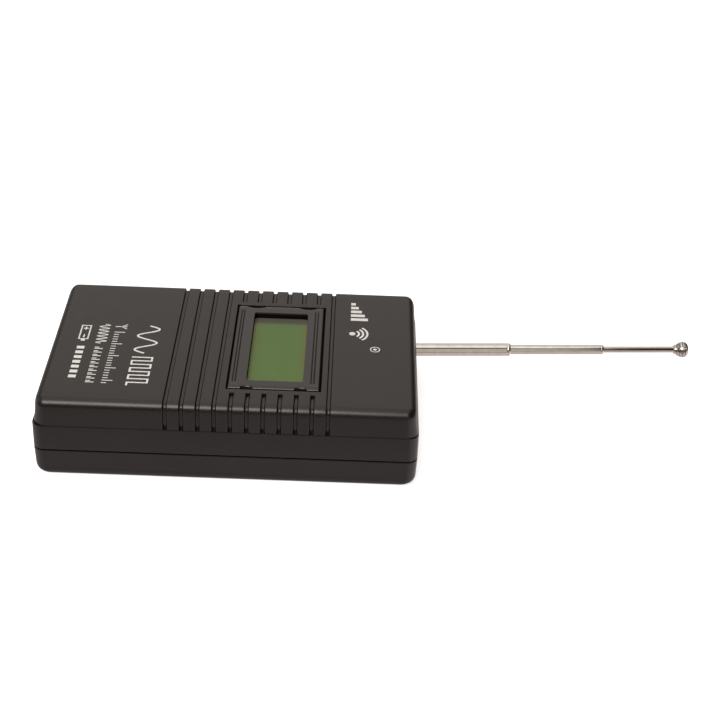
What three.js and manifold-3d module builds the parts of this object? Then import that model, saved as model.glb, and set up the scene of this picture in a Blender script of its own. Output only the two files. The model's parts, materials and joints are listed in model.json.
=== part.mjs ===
// Handheld frequency counter with a telescopic antenna.
// Millimetres. The origin is the centre of the flat back face, +X runs along the case towards the
// antenna, +Y runs across it towards the side with the controls, +Z comes out of the display.

import * as THREE from 'three';
import { mergeVertices } from 'three/addons/utils/BufferGeometryUtils.js';
import Module from 'manifold-3d';

const wasm = await Module();
wasm.setup();

const group = new THREE.Group();
group.name = 'frequency_counter';

// ---------------------------------------------------------------- driving dimensions

const caseLength = 108.5;
const caseWidth = 67.7;
const caseHeight = 25.3;
const wall = 2.0;
const cornerRadius = 3.0;
const edgeRadius = 2.5;

const partingHeight = 8.8;
const partingGap = 0.3;
const lipHeight = 1.5;
const lipThickness = 0.85;
const lipClearance = 0.15;

const stepHeight = 16.9;
const upperLength = 106.3;
const upperWidth = 67.4;
const bottomDraft = 0.2;

const grooveCount = 11;
const grooveWidth = 1.25;
const grooveDepth = 0.65;
const grooveFirst = -16.8;
const groovePitch = 4.54;

const display = { x: 12.8, y: -0.3, length: 26.0, width: 46.1, gap: 0.4 };
const bridge = { near: -26.25, far: 24.75 };
const viewWindow = { x: 12.95, y: -0.27, length: 16.2, width: 38.1 };
const displayBoard = { x: 13.05, y: 0.3, length: 32, width: 58, bottom: 16.4, thickness: 1.6 };
const bezelPlate = 0.7;

const mainBoard = { x: 14.9, y: 0, length: 59.8, width: 61, bottom: 6.4, thickness: 1.6 };

const antennaExit = new THREE.Vector3(caseLength / 2, 20.9, 12.8);
const antennaLean = THREE.MathUtils.degToRad(4);

const bay = { xMin: -51.6, xMax: -22.3, halfWidth: 25.2, endHalfWidth: 27.4, wallHeight: 8.4 };
const doorClearance = 0.25;

const postRadius = 2.8;
const postPlaces = [
  [-18.2, -28.4],
  [-18.2, 28.4],
  [48.4, -28.4],
  [48.4, 28.4],
];
const postFoot = 6.3;

const boardTop = mainBoard.bottom + mainBoard.thickness;
const displayBoardTop = displayBoard.bottom + displayBoard.thickness;
const ceiling = caseHeight - wall;
const innerHalfWidth = caseWidth / 2 - wall;

// ---------------------------------------------------------------- helpers

function toSolid(geometry) {
  const bare = geometry.index ? geometry.toNonIndexed() : geometry.clone();
  bare.deleteAttribute('normal');
  bare.deleteAttribute('uv');
  const merged = mergeVertices(bare, 1e-4);
  return new wasm.Manifold(new wasm.Mesh({
    numProp: 3,
    vertProperties: new Float32Array(merged.attributes.position.array),
    triVerts: new Uint32Array(merged.index.array),
  }));
}

function toGeometry(solid) {
  const mesh = solid.getMesh();
  const indexed = new THREE.BufferGeometry();
  indexed.setAttribute('position', new THREE.BufferAttribute(mesh.vertProperties, 3));
  indexed.setIndex(new THREE.BufferAttribute(mesh.triVerts, 1));
  const flat = indexed.toNonIndexed();
  flat.computeVertexNormals();
  return flat;
}

function addNode(name, solid, colour, roughness, metalness, matrix = null) {
  const geometry = toGeometry(solid);
  if (matrix) {
    geometry.applyMatrix4(matrix);
  }
  const material = new THREE.MeshStandardMaterial({ color: colour, roughness, metalness });
  material.name = `${name}_material`;
  const mesh = new THREE.Mesh(geometry, material);
  mesh.name = name;
  group.add(mesh);
}

function box(xMin, xMax, yMin, yMax, zMin, zMax) {
  const geometry = new THREE.BoxGeometry(xMax - xMin, yMax - yMin, zMax - zMin);
  geometry.translate((xMin + xMax) / 2, (yMin + yMax) / 2, (zMin + zMax) / 2);
  return toSolid(geometry);
}

function centredBox(x, y, zMin, length, width, height) {
  return box(x - length / 2, x + length / 2, y - width / 2, y + width / 2, zMin, zMin + height);
}

// Upright cylinder from zMin to zMax.
function post(x, y, zMin, zMax, radius, sides = 20) {
  const geometry = new THREE.CylinderGeometry(radius, radius, zMax - zMin, sides);
  geometry.rotateX(Math.PI / 2);
  geometry.translate(x, y, (zMin + zMax) / 2);
  return toSolid(geometry);
}

// Cylinder lying along +Y from yMin to yMax.
function crossPin(x, z, yMin, yMax, radius, sides = 20) {
  const geometry = new THREE.CylinderGeometry(radius, radius, yMax - yMin, sides);
  geometry.translate(x, (yMin + yMax) / 2, z);
  return toSolid(geometry);
}

// Solid of revolution about +X; the profile is a closed list of [distance along X, radius].
function turned(profile, sides = 20) {
  const points = profile.map(([along, radius]) => new THREE.Vector2(radius, along));
  points.push(points[0].clone());
  const geometry = new THREE.LatheGeometry(points, sides);
  geometry.rotateZ(-Math.PI / 2);
  const solid = toSolid(geometry);
  if (solid.volume() < 0) {
    throw new Error('turned profile is inside out');
  }
  return solid;
}

function unite(solids) {
  return solids.reduce((whole, next) => whole.add(next));
}

// Corner points of a rounded rectangle, anticlockwise seen from +Z.
function roundedOutline(length, width, radius, segments = 4) {
  const points = [];
  const corners = [[1, 1, 0], [-1, 1, 90], [-1, -1, 180], [1, -1, 270]];
  for (const [signX, signY, start] of corners) {
    for (let step = 0; step <= segments; step += 1) {
      const angle = THREE.MathUtils.degToRad(start + (90 * step) / segments);
      points.push([
        signX * (length / 2 - radius) + radius * Math.cos(angle),
        signY * (width / 2 - radius) + radius * Math.sin(angle),
      ]);
    }
  }
  return points;
}

// Stack of rounded rectangles joined into one closed body.
function loft(levels) {
  const loops = levels.map(({ z, length, width, radius }) => (
    roundedOutline(length, width, radius).map(([x, y]) => [x, y, z])));
  const count = loops[0].length;
  const positions = loops.flat(2);
  const indices = [];
  for (let level = 0; level < loops.length - 1; level += 1) {
    for (let point = 0; point < count; point += 1) {
      const next = (point + 1) % count;
      const low = level * count;
      const high = low + count;
      indices.push(low + point, low + next, high + next);
      indices.push(low + point, high + next, high + point);
    }
  }
  const top = (loops.length - 1) * count;
  for (let point = 1; point < count - 1; point += 1) {
    indices.push(0, point + 1, point);
    indices.push(top, top + point, top + point + 1);
  }
  const geometry = new THREE.BufferGeometry();
  geometry.setAttribute('position', new THREE.Float32BufferAttribute(positions, 3));
  geometry.setIndex(indices);
  return toSolid(geometry);
}

// Levels of a quarter-round edge; direction +1 closes the top of a body, -1 its bottom.
function edgeLevels(zFlat, direction, length, width, segments = 3) {
  const levels = [];
  for (let step = 0; step <= segments; step += 1) {
    const angle = (Math.PI / 2) * (step / segments);
    const inset = edgeRadius * (1 - Math.cos(angle));
    levels.push({
      z: zFlat - direction * edgeRadius * (1 - Math.sin(angle)),
      length: length - 2 * inset,
      width: width - 2 * inset,
      radius: Math.max(cornerRadius - inset, 0.8),
    });
  }
  return direction > 0 ? levels : levels.reverse();
}

function tubeAlong(points, radius, sides = 6, steps = 18) {
  const curve = new THREE.CatmullRomCurve3(points.map(([x, y, z]) => new THREE.Vector3(x, y, z)));
  const outline = new THREE.Shape();
  for (let side = 0; side < sides; side += 1) {
    const angle = (2 * Math.PI * side) / sides;
    const x = radius * Math.cos(angle);
    const y = radius * Math.sin(angle);
    if (side === 0) {
      outline.moveTo(x, y);
    } else {
      outline.lineTo(x, y);
    }
  }
  outline.closePath();
  return toSolid(new THREE.ExtrudeGeometry(outline, { steps, extrudePath: curve, curveSegments: 1 }));
}

const antennaMatrix = new THREE.Matrix4()
  .makeTranslation(antennaExit.x, antennaExit.y, antennaExit.z)
  .multiply(new THREE.Matrix4().makeRotationZ(antennaLean));

// Move a solid built along +X onto the antenna axis.
function onAntennaAxis(solid) {
  const geometry = toGeometry(solid);
  geometry.applyMatrix4(antennaMatrix);
  return toSolid(geometry);
}

// ---------------------------------------------------------------- top shell

const slideSwitch = { x: 40, z: 12.0, travel: 1.5, knobLength: 3, knobHeight: 2.2, yBack: 25.9 };
slideSwitch.yFront = slideSwitch.yBack + 4.4;
const pushButton = { x: 8, z: 13.2, radius: 2.0, travel: 0.6 };
const outerSide = caseWidth / 2;

function grooveCuts() {
  const keep = loft([
    { z: stepHeight - 5, length: upperLength, width: upperWidth - 2 * grooveDepth, radius: 2.2 },
    ...edgeLevels(caseHeight - grooveDepth, 1, upperLength, upperWidth - 2 * grooveDepth),
  ]);
  const slabs = [];
  for (let index = 0; index < grooveCount; index += 1) {
    const x = grooveFirst + groovePitch * index;
    const crossesDisplay = Math.abs(x - display.x) < display.length / 2;
    const spans = crossesDisplay
      ? [[-caseWidth, bridge.near], [bridge.far, caseWidth]]
      : [[-caseWidth, caseWidth]];
    for (const [yMin, yMax] of spans) {
      slabs.push(box(x - grooveWidth / 2, x + grooveWidth / 2, yMin, yMax, stepHeight, caseHeight + 5));
    }
  }
  return unite(slabs).subtract(keep);
}

const displayPostPlaces = [-1, 1].flatMap((signX) => [-1, 1].map((signY) => [
  displayBoard.x + signX * (displayBoard.length / 2 - 2.5),
  displayBoard.y + signY * (displayBoard.width / 2 - 2.3),
]));

const lowerBlock = loft([
  { z: partingHeight + partingGap / 2, length: caseLength, width: caseWidth, radius: cornerRadius },
  { z: stepHeight, length: caseLength, width: caseWidth, radius: cornerRadius },
]);
const upperBlock = loft([
  { z: stepHeight - 3, length: upperLength, width: upperWidth, radius: cornerRadius },
  ...edgeLevels(caseHeight, 1, upperLength, upperWidth),
]);
const topCavity = loft([
  { z: 0, length: caseLength - 2 * wall, width: caseWidth - 2 * wall, radius: 1.5 },
  { z: stepHeight - wall, length: caseLength - 2 * wall, width: caseWidth - 2 * wall, radius: 1.5 },
  { z: ceiling, length: upperLength - 2 * wall, width: upperWidth - 2 * wall, radius: 1.5 },
]);
const lipPocket = loft([
  {
    z: 0,
    length: caseLength - 2 * (wall - lipThickness - lipClearance),
    width: caseWidth - 2 * (wall - lipThickness - lipClearance),
    radius: 2.2,
  },
  {
    z: partingHeight + lipHeight,
    length: caseLength - 2 * (wall - lipThickness - lipClearance),
    width: caseWidth - 2 * (wall - lipThickness - lipClearance),
    radius: 2.2,
  },
]);

let topShell = lowerBlock.add(upperBlock).subtract(topCavity).subtract(lipPocket);
topShell = topShell.subtract(grooveCuts());
topShell = topShell.subtract(centredBox(
  display.x, display.y, ceiling - 1, display.length + 2 * display.gap, display.width + 2 * display.gap, 5));
for (const [x, y] of postPlaces) {
  topShell = topShell
    .add(post(x, y, postFoot, ceiling + 0.5, postRadius, 16))
    .subtract(post(x, y, postFoot - 1, postFoot + 9, 1.4, 12));
}
for (const [x, y] of displayPostPlaces) {
  topShell = topShell
    .add(post(x, y, displayBoardTop, ceiling + 0.5, 1.9, 12))
    .subtract(post(x, y, displayBoardTop - 1, displayBoardTop + 3.6, 1.0, 12));
}
const antennaHole = onAntennaAxis(turned([[-8, 0], [-8, 2.6], [8, 2.6], [8, 0]])).translate([0, 0, -0.3]);
const switchSlotHalf = slideSwitch.travel + slideSwitch.knobLength / 2 + 0.4;
topShell = topShell
  .subtract(antennaHole)
  .subtract(box(
    slideSwitch.x - switchSlotHalf, slideSwitch.x + switchSlotHalf, outerSide - 5, outerSide + 5,
    slideSwitch.z - slideSwitch.knobHeight / 2 - 0.3, slideSwitch.z + slideSwitch.knobHeight / 2 + 0.3))
  .subtract(crossPin(pushButton.x, pushButton.z, outerSide - 5, outerSide + 5, pushButton.radius + 0.3));
addNode('top_shell', topShell, 0x24211f, 0.55, 0);

// ---------------------------------------------------------------- bottom shell and battery door

const bottomTop = partingHeight - partingGap / 2;
const bottomOuter = loft([
  ...edgeLevels(0, -1, caseLength - 2 * bottomDraft, caseWidth - 2 * bottomDraft),
  { z: bottomTop, length: caseLength, width: caseWidth, radius: cornerRadius },
]);
const bottomCavity = loft([
  { z: wall, length: caseLength - 2 * wall - 2, width: caseWidth - 2 * wall - 2, radius: 1.5 },
  { z: wall + 1, length: caseLength - 2 * wall, width: caseWidth - 2 * wall, radius: 1.5 },
  { z: caseHeight, length: caseLength - 2 * wall, width: caseWidth - 2 * wall, radius: 1.5 },
]);
const lipOuter = loft([
  {
    z: bottomTop - 1,
    length: caseLength - 2 * (wall - lipThickness),
    width: caseWidth - 2 * (wall - lipThickness),
    radius: 2.1,
  },
  {
    z: partingHeight + lipHeight - 0.2,
    length: caseLength - 2 * (wall - lipThickness),
    width: caseWidth - 2 * (wall - lipThickness),
    radius: 2.1,
  },
]);

// Door outline grown by a clearance: a floor panel plus a wider lip through the end wall.
const doorTop = 8.1;
function doorRegion(clearance) {
  const panelHalf = bay.halfWidth + clearance;
  const lipHalf = bay.endHalfWidth + clearance;
  const top = doorTop + clearance;
  return box(-caseLength, bay.xMax + clearance, -panelHalf, panelHalf, -5, top)
    .add(box(-caseLength, -caseLength / 2 + wall + clearance, -lipHalf, lipHalf, -5, top));
}

const tongue = { reach: 1.4, zMin: 0.9, zMax: 1.7, xMin: -51.8, xMax: -24 };
const rail = { width: 3.4, top: 3.2 };
const bayWall = { thickness: 1.4, endThickness: 1.2, endHalfWidth: 26 };
const boardStandoffs = [[-10.5, -22], [40, -8]];
const screwSeat = 2.6;

let bottomShell = bottomOuter.add(lipOuter).subtract(bottomCavity);
for (const side of [-1, 1]) {
  const inner = bay.halfWidth + doorClearance;
  const strips = [
    { width: rail.width - doorClearance, top: rail.top },
    { width: bayWall.thickness, top: bay.wallHeight },
  ];
  for (const { width, top } of strips) {
    const middle = side * (inner + width / 2);
    bottomShell = bottomShell.add(
      box(-caseLength / 2 + 1, bay.xMax + 1.4, middle - width / 2, middle + width / 2, 1, top));
  }
}
bottomShell = bottomShell
  .add(box(
    bay.xMax + doorClearance, bay.xMax + doorClearance + bayWall.endThickness, -bayWall.endHalfWidth,
    bayWall.endHalfWidth, 1, bay.wallHeight))
  .subtract(doorRegion(doorClearance))
  .subtract(box(
    -caseLength / 2, bay.xMax, -bay.halfWidth - tongue.reach - doorClearance,
    bay.halfWidth + tongue.reach + doorClearance, tongue.zMin - doorClearance,
    tongue.zMax + doorClearance));
for (const [x, y] of postPlaces) {
  bottomShell = bottomShell
    .add(post(x, y, 1, postFoot - 0.1, postRadius + 0.2, 16))
    .subtract(post(x, y, -1, screwSeat, 2.4, 16))
    .subtract(post(x, y, screwSeat - 1, postFoot + 1, 1.5, 12));
}
for (const [x, y] of boardStandoffs) {
  bottomShell = bottomShell
    .add(post(x, y, 1, mainBoard.bottom, 2.4, 16))
    .subtract(post(x, y, 2.6, mainBoard.bottom + 1, 0.95, 12));
}
addNode('bottom_shell', bottomShell, 0x24211f, 0.58, 0);

const doorThickness = 1.9;
let door = bottomOuter.intersect(doorRegion(0)).subtract(box(
  -caseLength / 2 + wall, bay.xMax + 5, -bay.endHalfWidth - 5, bay.endHalfWidth + 5, doorThickness, 20));
for (const side of [-1, 1]) {
  const near = side * (bay.halfWidth - 0.5);
  const far = side * (bay.halfWidth + tongue.reach);
  door = door.add(box(
    tongue.xMin, tongue.xMax, Math.min(near, far), Math.max(near, far), tongue.zMin, tongue.zMax));
}
const grip = { count: 6, first: -46, pitch: 2, width: 0.9, halfLength: 9, depth: 0.5 };
for (let index = 0; index < grip.count; index += 1) {
  const x = grip.first + grip.pitch * index;
  door = door.subtract(
    box(x - grip.width / 2, x + grip.width / 2, -grip.halfLength, grip.halfLength, -1, grip.depth));
}
addNode('battery_door', door, 0x24211f, 0.58, 0);

// ---------------------------------------------------------------- display module

const bezelTop = caseHeight - 0.05;
const bezelInner = 0.7;
const glassTop = bezelTop - 1.9;
const glassThickness = 2.2;
const windowLip = 0.6;
const windowWell = centredBox(
  viewWindow.x, viewWindow.y, glassTop + 0.05, viewWindow.length + 2 * windowLip,
  viewWindow.width + 2 * windowLip, bezelTop - bezelPlate - glassTop);
const bezel = centredBox(
  display.x, display.y, displayBoardTop, display.length, display.width, bezelTop - displayBoardTop)
  .subtract(centredBox(
    display.x, display.y, displayBoardTop - 1, display.length - 2 * bezelInner,
    display.width - 2 * bezelInner, bezelTop - displayBoardTop - bezelPlate + 1))
  .add(windowWell)
  .subtract(centredBox(
    viewWindow.x, viewWindow.y, glassTop - 1, viewWindow.length, viewWindow.width, 5));
addNode('lcd_bezel', bezel, 0x2a2828, 0.42, 0.7);

addNode(
  'lcd_glass',
  centredBox(
    display.x, display.y, glassTop - glassThickness, display.length - 2 * bezelInner - 0.3,
    display.width - 2 * bezelInner - 0.3, glassThickness),
  0x66794e, 0.12, 0);
addNode(
  'lcd_backlight',
  centredBox(
    display.x, display.y, displayBoardTop, display.length - 2 * bezelInner - 0.5,
    display.width - 2 * bezelInner - 0.5, glassTop - glassThickness - displayBoardTop - 0.05),
  0xe8ead8, 0.4, 0);

let displayCircuit = centredBox(
  displayBoard.x, displayBoard.y, displayBoard.bottom, displayBoard.length, displayBoard.width,
  displayBoard.thickness);
for (const [x, y] of displayPostPlaces) {
  displayCircuit = displayCircuit.subtract(
    post(x, y, displayBoard.bottom - 1, displayBoardTop + 1, 1.25, 12));
}
addNode('lcd_board', displayCircuit, 0x1d5a34, 0.45, 0);
addNode(
  'lcd_driver',
  post(displayBoard.x - 5, -8, displayBoard.bottom - 1.2, displayBoard.bottom, 5, 20),
  0x0c0c0c, 0.35, 0);

const headerPitch = 2.54;
const headerColumns = 7;
const headerY = displayBoard.y - displayBoard.width / 2 + 3.2;
let header = centredBox(
  displayBoard.x, headerY, boardTop, headerColumns * headerPitch, 2 * headerPitch, 2.5);
for (let column = 0; column < headerColumns; column += 1) {
  for (const row of [-0.5, 0.5]) {
    const x = displayBoard.x + (column - (headerColumns - 1) / 2) * headerPitch;
    header = header.add(centredBox(
      x, headerY + row * headerPitch, boardTop + 1, 0.64, 0.64, displayBoard.bottom - boardTop - 1));
  }
}
addNode('display_header', header, 0x111111, 0.5, 0);

// Pan-head screw hanging down from its seat (head below) or standing up into a boss.
function screw(x, y, seat, headRadius, headHeight, shankRadius, shankLength, up) {
  const direction = up ? 1 : -1;
  const headEnd = seat - direction * headHeight;
  const shankEnd = seat + direction * shankLength;
  const head = post(x, y, Math.min(seat, headEnd), Math.max(seat, headEnd), headRadius, 16);
  const shank = post(x, y, Math.min(headEnd, shankEnd), Math.max(headEnd, shankEnd), shankRadius, 12);
  const slotEnd = headEnd + direction * headHeight * 0.55;
  const zMin = Math.min(headEnd - direction, slotEnd);
  const zMax = Math.max(headEnd - direction, slotEnd);
  const slotHalf = headRadius * 0.62;
  return head.add(shank)
    .subtract(box(x - slotHalf, x + slotHalf, y - 0.3, y + 0.3, zMin, zMax))
    .subtract(box(x - 0.3, x + 0.3, y - slotHalf, y + slotHalf, zMin, zMax));
}

displayPostPlaces.forEach(([x, y], index) => {
  addNode(
    `lcd_screw_${index + 1}`,
    screw(x, y, displayBoard.bottom, 1.7, 1.1, 0.9, 4.6, true),
    0xb8b8b4, 0.35, 0.9);
});

// ---------------------------------------------------------------- main board and its components

let mainCircuit = centredBox(
  mainBoard.x, mainBoard.y, mainBoard.bottom, mainBoard.length, mainBoard.width, mainBoard.thickness);
for (const [x, y] of boardStandoffs) {
  mainCircuit = mainCircuit.subtract(post(x, y, mainBoard.bottom - 1, boardTop + 1, 1.25, 12));
}
addNode('main_board', mainCircuit, 0x1d5a34, 0.45, 0);
boardStandoffs.forEach(([x, y], index) => {
  const boardScrew = screw(x, y, boardTop, 2.0, 1.3, 0.85, 4.6, false);
  addNode(`board_screw_${index + 1}`, boardScrew, 0xb8b8b4, 0.35, 0.9);
});

// Surface-mount chip with flat leads on its two long sides.
function chip(x, y, length, width, height, leadsPerSide, pitch) {
  let body = centredBox(x, y, boardTop + 0.15, length, width, height - 0.15);
  for (let lead = 0; lead < leadsPerSide; lead += 1) {
    const leadX = x + (lead - (leadsPerSide - 1) / 2) * pitch;
    for (const side of [-1, 1]) {
      const root = y + side * (width / 2 - 0.3);
      const tipEnd = y + side * (width / 2 + 1.1);
      const [leadMin, leadMax] = side < 0 ? [tipEnd, root] : [root, tipEnd];
      body = body.add(box(leadX - 0.2, leadX + 0.2, leadMin, leadMax, boardTop, boardTop + 0.3));
    }
  }
  return body;
}
addNode('microcontroller', chip(12, -12, 12.8, 7.5, 2.4, 10, 1.27), 0x101010, 0.5, 0);
addNode('prescaler_chip', chip(32, 8, 5, 4, 1.6, 4, 1.27), 0x101010, 0.5, 0);
addNode('input_amplifier', chip(22, 8, 5, 4, 1.6, 4, 1.27), 0x101010, 0.5, 0);

const crystalCan = toSolid(new THREE.ExtrudeGeometry(
  new THREE.Shape(roundedOutline(11, 4.6, 2.2).map(([x, y]) => new THREE.Vector2(x, y))),
  { depth: 3.5, bevelEnabled: false })).translate([-4, -12, boardTop]);
addNode('crystal', crystalCan, 0xc0c0c0, 0.3, 0.95);
addNode('capacitor', post(-8, 8, boardTop, boardTop + 7, 3.15, 20), 0x15233f, 0.4, 0.1);
addNode('input_capacitor', post(41, 2, boardTop, boardTop + 5.5, 2.5, 20), 0x15233f, 0.4, 0.1);
addNode(
  'contrast_trimmer',
  centredBox(34, -20, boardTop, 6.6, 6.6, 3.6)
    .add(post(34, -20, boardTop + 3, boardTop + 4.2, 2.0, 16))
    .subtract(centredBox(34, -20, boardTop + 3.7, 3.0, 0.6, 2)),
  0x2a55a0, 0.45, 0);

let regulator = post(0, 20, boardTop + 2.5, boardTop + 7.2, 2.4, 20)
  .subtract(box(-4, 4, 21.3, 26, 0, 30));
for (const offset of [-1.27, 0, 1.27]) {
  regulator = regulator.add(centredBox(offset, 20, boardTop, 0.45, 0.45, 3.5));
}
addNode('voltage_regulator', regulator, 0x141414, 0.5, 0);

// ---------------------------------------------------------------- side controls

const switchBody = box(
  slideSwitch.x - 4.5, slideSwitch.x + 4.5, slideSwitch.yBack, slideSwitch.yFront, boardTop,
  slideSwitch.z + 2.6)
  .subtract(box(
    slideSwitch.x - switchSlotHalf + 0.2, slideSwitch.x + switchSlotHalf - 0.2, slideSwitch.yFront - 1.3,
    slideSwitch.yFront + 1, slideSwitch.z - 1.3, slideSwitch.z + 1.3));
addNode('power_switch_body', switchBody, 0xb9bcc0, 0.35, 0.85);

let switchKnob = centredBox(
  slideSwitch.x - slideSwitch.travel, (slideSwitch.yFront - 0.9 + outerSide + 1.5) / 2,
  slideSwitch.z - slideSwitch.knobHeight / 2, slideSwitch.knobLength,
  outerSide + 1.5 - slideSwitch.yFront + 0.9, slideSwitch.knobHeight);
for (const offset of [-0.75, 0.75]) {
  switchKnob = switchKnob.subtract(centredBox(
    slideSwitch.x - slideSwitch.travel + offset, outerSide + 1.5, slideSwitch.z - 5, 0.4, 0.7, 10));
}
addNode('power_switch_knob', switchKnob, 0x1a1a1a, 0.5, 0);

const tactFront = 28.6;
addNode(
  'function_switch_body',
  box(pushButton.x - 3, pushButton.x + 3, tactFront - 3.6, tactFront, boardTop, pushButton.z + 3),
  0x1a1a1a, 0.5, 0);
const buttonCap = crossPin(
  pushButton.x, pushButton.z, tactFront + pushButton.travel + 0.2, outerSide + 1.2, pushButton.radius)
  .add(crossPin(pushButton.x, pushButton.z, innerHalfWidth - 1.6, innerHalfWidth - 0.3, 3.0));
addNode('function_button', buttonCap, 0x1a1a1a, 0.5, 0);

// ---------------------------------------------------------------- battery and its wiring

const battery = { x: -36.6, yMin: -25.0, yMax: 21.4, zMin: 2.1, length: 26.2, height: 17.3 };
battery.zMid = battery.zMin + battery.height / 2;
const snapPitch = 12.95;
const batteryOutline = roundedOutline(battery.length, battery.height, 2.4, 3)
  .map(([x, z]) => new THREE.Vector2(x, z));
const batteryGeometry = new THREE.ExtrudeGeometry(
  new THREE.Shape(batteryOutline), { depth: battery.yMax - battery.yMin, bevelEnabled: false });
batteryGeometry.rotateX(Math.PI / 2);
batteryGeometry.translate(battery.x, battery.yMax, battery.zMid);
addNode('battery', toSolid(batteryGeometry), 0x7d8a93, 0.35, 0.6);

const studEnd = battery.yMax + 2.1;
const positiveX = battery.x - snapPitch / 2;
const negativeX = battery.x + snapPitch / 2;
addNode(
  'battery_positive_stud',
  crossPin(positiveX, battery.zMid, battery.yMax, studEnd, 2.8, 16),
  0xc8c8c8, 0.3, 1);
addNode(
  'battery_negative_stud',
  crossPin(negativeX, battery.zMid, battery.yMax, studEnd, 4.2, 6)
    .subtract(crossPin(negativeX, battery.zMid, battery.yMax + 0.6, studEnd + 1, 2.9, 16)),
  0xc8c8c8, 0.3, 1);

const snapBack = studEnd + 1.6;
const snapConnector = box(
  battery.x - 12.6, battery.x + 12.6, battery.yMax + 0.1, snapBack, battery.zMid - 6, battery.zMid + 6)
  .subtract(crossPin(positiveX, battery.zMid, battery.yMax, studEnd + 0.2, 3.1, 16))
  .subtract(crossPin(negativeX, battery.zMid, battery.yMax, studEnd + 0.2, 4.8, 16));
addNode('battery_snap', snapConnector, 0x161616, 0.6, 0);

const leadGap = 0.1;

function batteryLead(startX, endX, heightOffset) {
  return tubeAlong([
    [startX, snapBack + leadGap, 12 + heightOffset],
    [startX, snapBack + 1.2, 12 + heightOffset],
    [startX + 3, 28.0, 12.2 + heightOffset],
    [-26, 28.2, 12.6 + heightOffset],
    [-19, 23.4, 12.2 + heightOffset],
    [endX, 19.6, 11.2],
    [endX, 19.6, 9.4],
    [endX, 19.6, boardTop + leadGap],
  ], 0.6);
}
addNode('battery_lead_positive', batteryLead(positiveX, -9.5, 2.2), 0xa31616, 0.5, 0);
addNode('battery_lead_negative', batteryLead(negativeX - 3, -12.5, 0), 0x101010, 0.5, 0);

addNode(
  'battery_foam',
  box(-47, -26.5, -21, 17, battery.zMin + battery.height + 0.1, ceiling - 0.05),
  0x3c3c3c, 0.95, 0);

// ---------------------------------------------------------------- telescopic antenna

// Distances run along the antenna axis from the outer face of the end wall.
const crimpLength = 0.9;

// Tube section: flared foot at the rear, plain wall, mouth rolled inwards at the front.
function telescopeTube({ rear, front, outer, bore, foot, mouth }) {
  return turned([
    [rear, bore],
    [rear, foot],
    [rear + 1.4, foot],
    [rear + 1.6, outer],
    [front - 0.35, outer],
    [front, outer - 0.3],
    [front, mouth],
    [front - crimpLength, mouth],
    [front - crimpLength - 0.2, bore],
  ], 20);
}

const baseTube = { rear: -39, front: -2.6, outer: 2.55, bore: 2.28, foot: 2.55, mouth: 2.1 };
const firstTube = { rear: -7.0, front: 29.5, outer: 2.0, bore: 1.73, foot: 2.2, mouth: 1.6 };
const secondTube = { rear: 25.6, front: 58.75, outer: 1.52, bore: 1.22, foot: 1.66, mouth: 1.05 };
const rod = { rear: 55.2, front: 83.2, outer: 0.97, foot: 1.14 };
const tip = { rear: 81.6, front: 85.65, collar: 1.45, outer: 2.5 };

const nickel = 0xc9c4bb;
addNode('antenna_base_tube', telescopeTube(baseTube), nickel, 0.25, 1, antennaMatrix);
addNode('antenna_first_section', telescopeTube(firstTube), nickel, 0.2, 1, antennaMatrix);
addNode('antenna_second_section', telescopeTube(secondTube), nickel, 0.2, 1, antennaMatrix);
addNode(
  'antenna_rod',
  turned([
    [rod.rear, 0],
    [rod.rear, rod.foot],
    [rod.rear + 1.6, rod.foot],
    [rod.rear + 1.8, rod.outer],
    [rod.front, rod.outer],
    [rod.front, 0],
  ], 20),
  nickel, 0.2, 1, antennaMatrix);
addNode(
  'antenna_tip',
  turned([
    [tip.rear - 0.5, rod.outer + 0.04],
    [tip.rear - 0.5, tip.collar],
    [tip.rear, tip.collar],
    [tip.rear + 0.3, tip.outer * 0.8],
    [tip.rear + 0.8, tip.outer * 0.8],
    [tip.rear + 1.0, tip.outer * 0.94],
    [tip.rear + 1.6, tip.outer * 0.94],
    [tip.rear + 1.8, tip.outer],
    [tip.rear + 2.6, tip.outer],
    [tip.rear + 2.8, tip.outer * 0.88],
    [tip.front - 0.5, tip.outer * 0.72],
    [tip.front, tip.outer * 0.4],
    [tip.front, 0],
    [rod.front + 0.05, 0],
    [rod.front + 0.05, rod.outer + 0.04],
  ], 20),
  nickel, 0.2, 1, antennaMatrix);

// Saddle that holds the base tube above the board.
function antennaSaddle(along) {
  const saddle = box(along - 1.6, along + 1.6, -4, 4, boardTop - antennaExit.z, 1.2);
  return saddle.subtract(turned([[along - 5, 0], [along - 5, baseTube.outer + 0.02],
    [along + 5, baseTube.outer + 0.02], [along + 5, 0]], 20));
}
addNode('antenna_front_saddle', antennaSaddle(-12), 0xd8cfae, 0.4, 0.6, antennaMatrix);
addNode('antenna_rear_saddle', antennaSaddle(-34), 0xd8cfae, 0.4, 0.6, antennaMatrix);

// The closing plug carries the wire that joins the antenna to the board.
addNode(
  'antenna_rear_plug',
  turned([
    [baseTube.rear - 1, 0],
    [baseTube.rear - 1, baseTube.outer],
    [baseTube.rear - 0.02, baseTube.outer],
    [baseTube.rear - 0.02, baseTube.bore - 0.1],
    [baseTube.rear + 0.8, baseTube.bore - 0.1],
    [baseTube.rear + 0.8, 0],
  ], 20),
  0xb59a4a, 0.35, 0.9, antennaMatrix);
const plugFace = new THREE.Vector3(baseTube.rear - 1.02, 0, 0).applyMatrix4(antennaMatrix);
addNode(
  'antenna_lead',
  tubeAlong([
    [plugFace.x - leadGap, plugFace.y, plugFace.z],
    [plugFace.x - 1.2, plugFace.y - 0.1, plugFace.z],
    [plugFace.x - 3.2, plugFace.y - 0.4, plugFace.z - 1.6],
    [plugFace.x - 3.4, plugFace.y - 0.5, boardTop + 1.2],
    [plugFace.x - 3.4, plugFace.y - 0.5, boardTop + leadGap],
  ], 0.5),
  0x8a1616, 0.5, 0);

// ---------------------------------------------------------------- case screws

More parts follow.
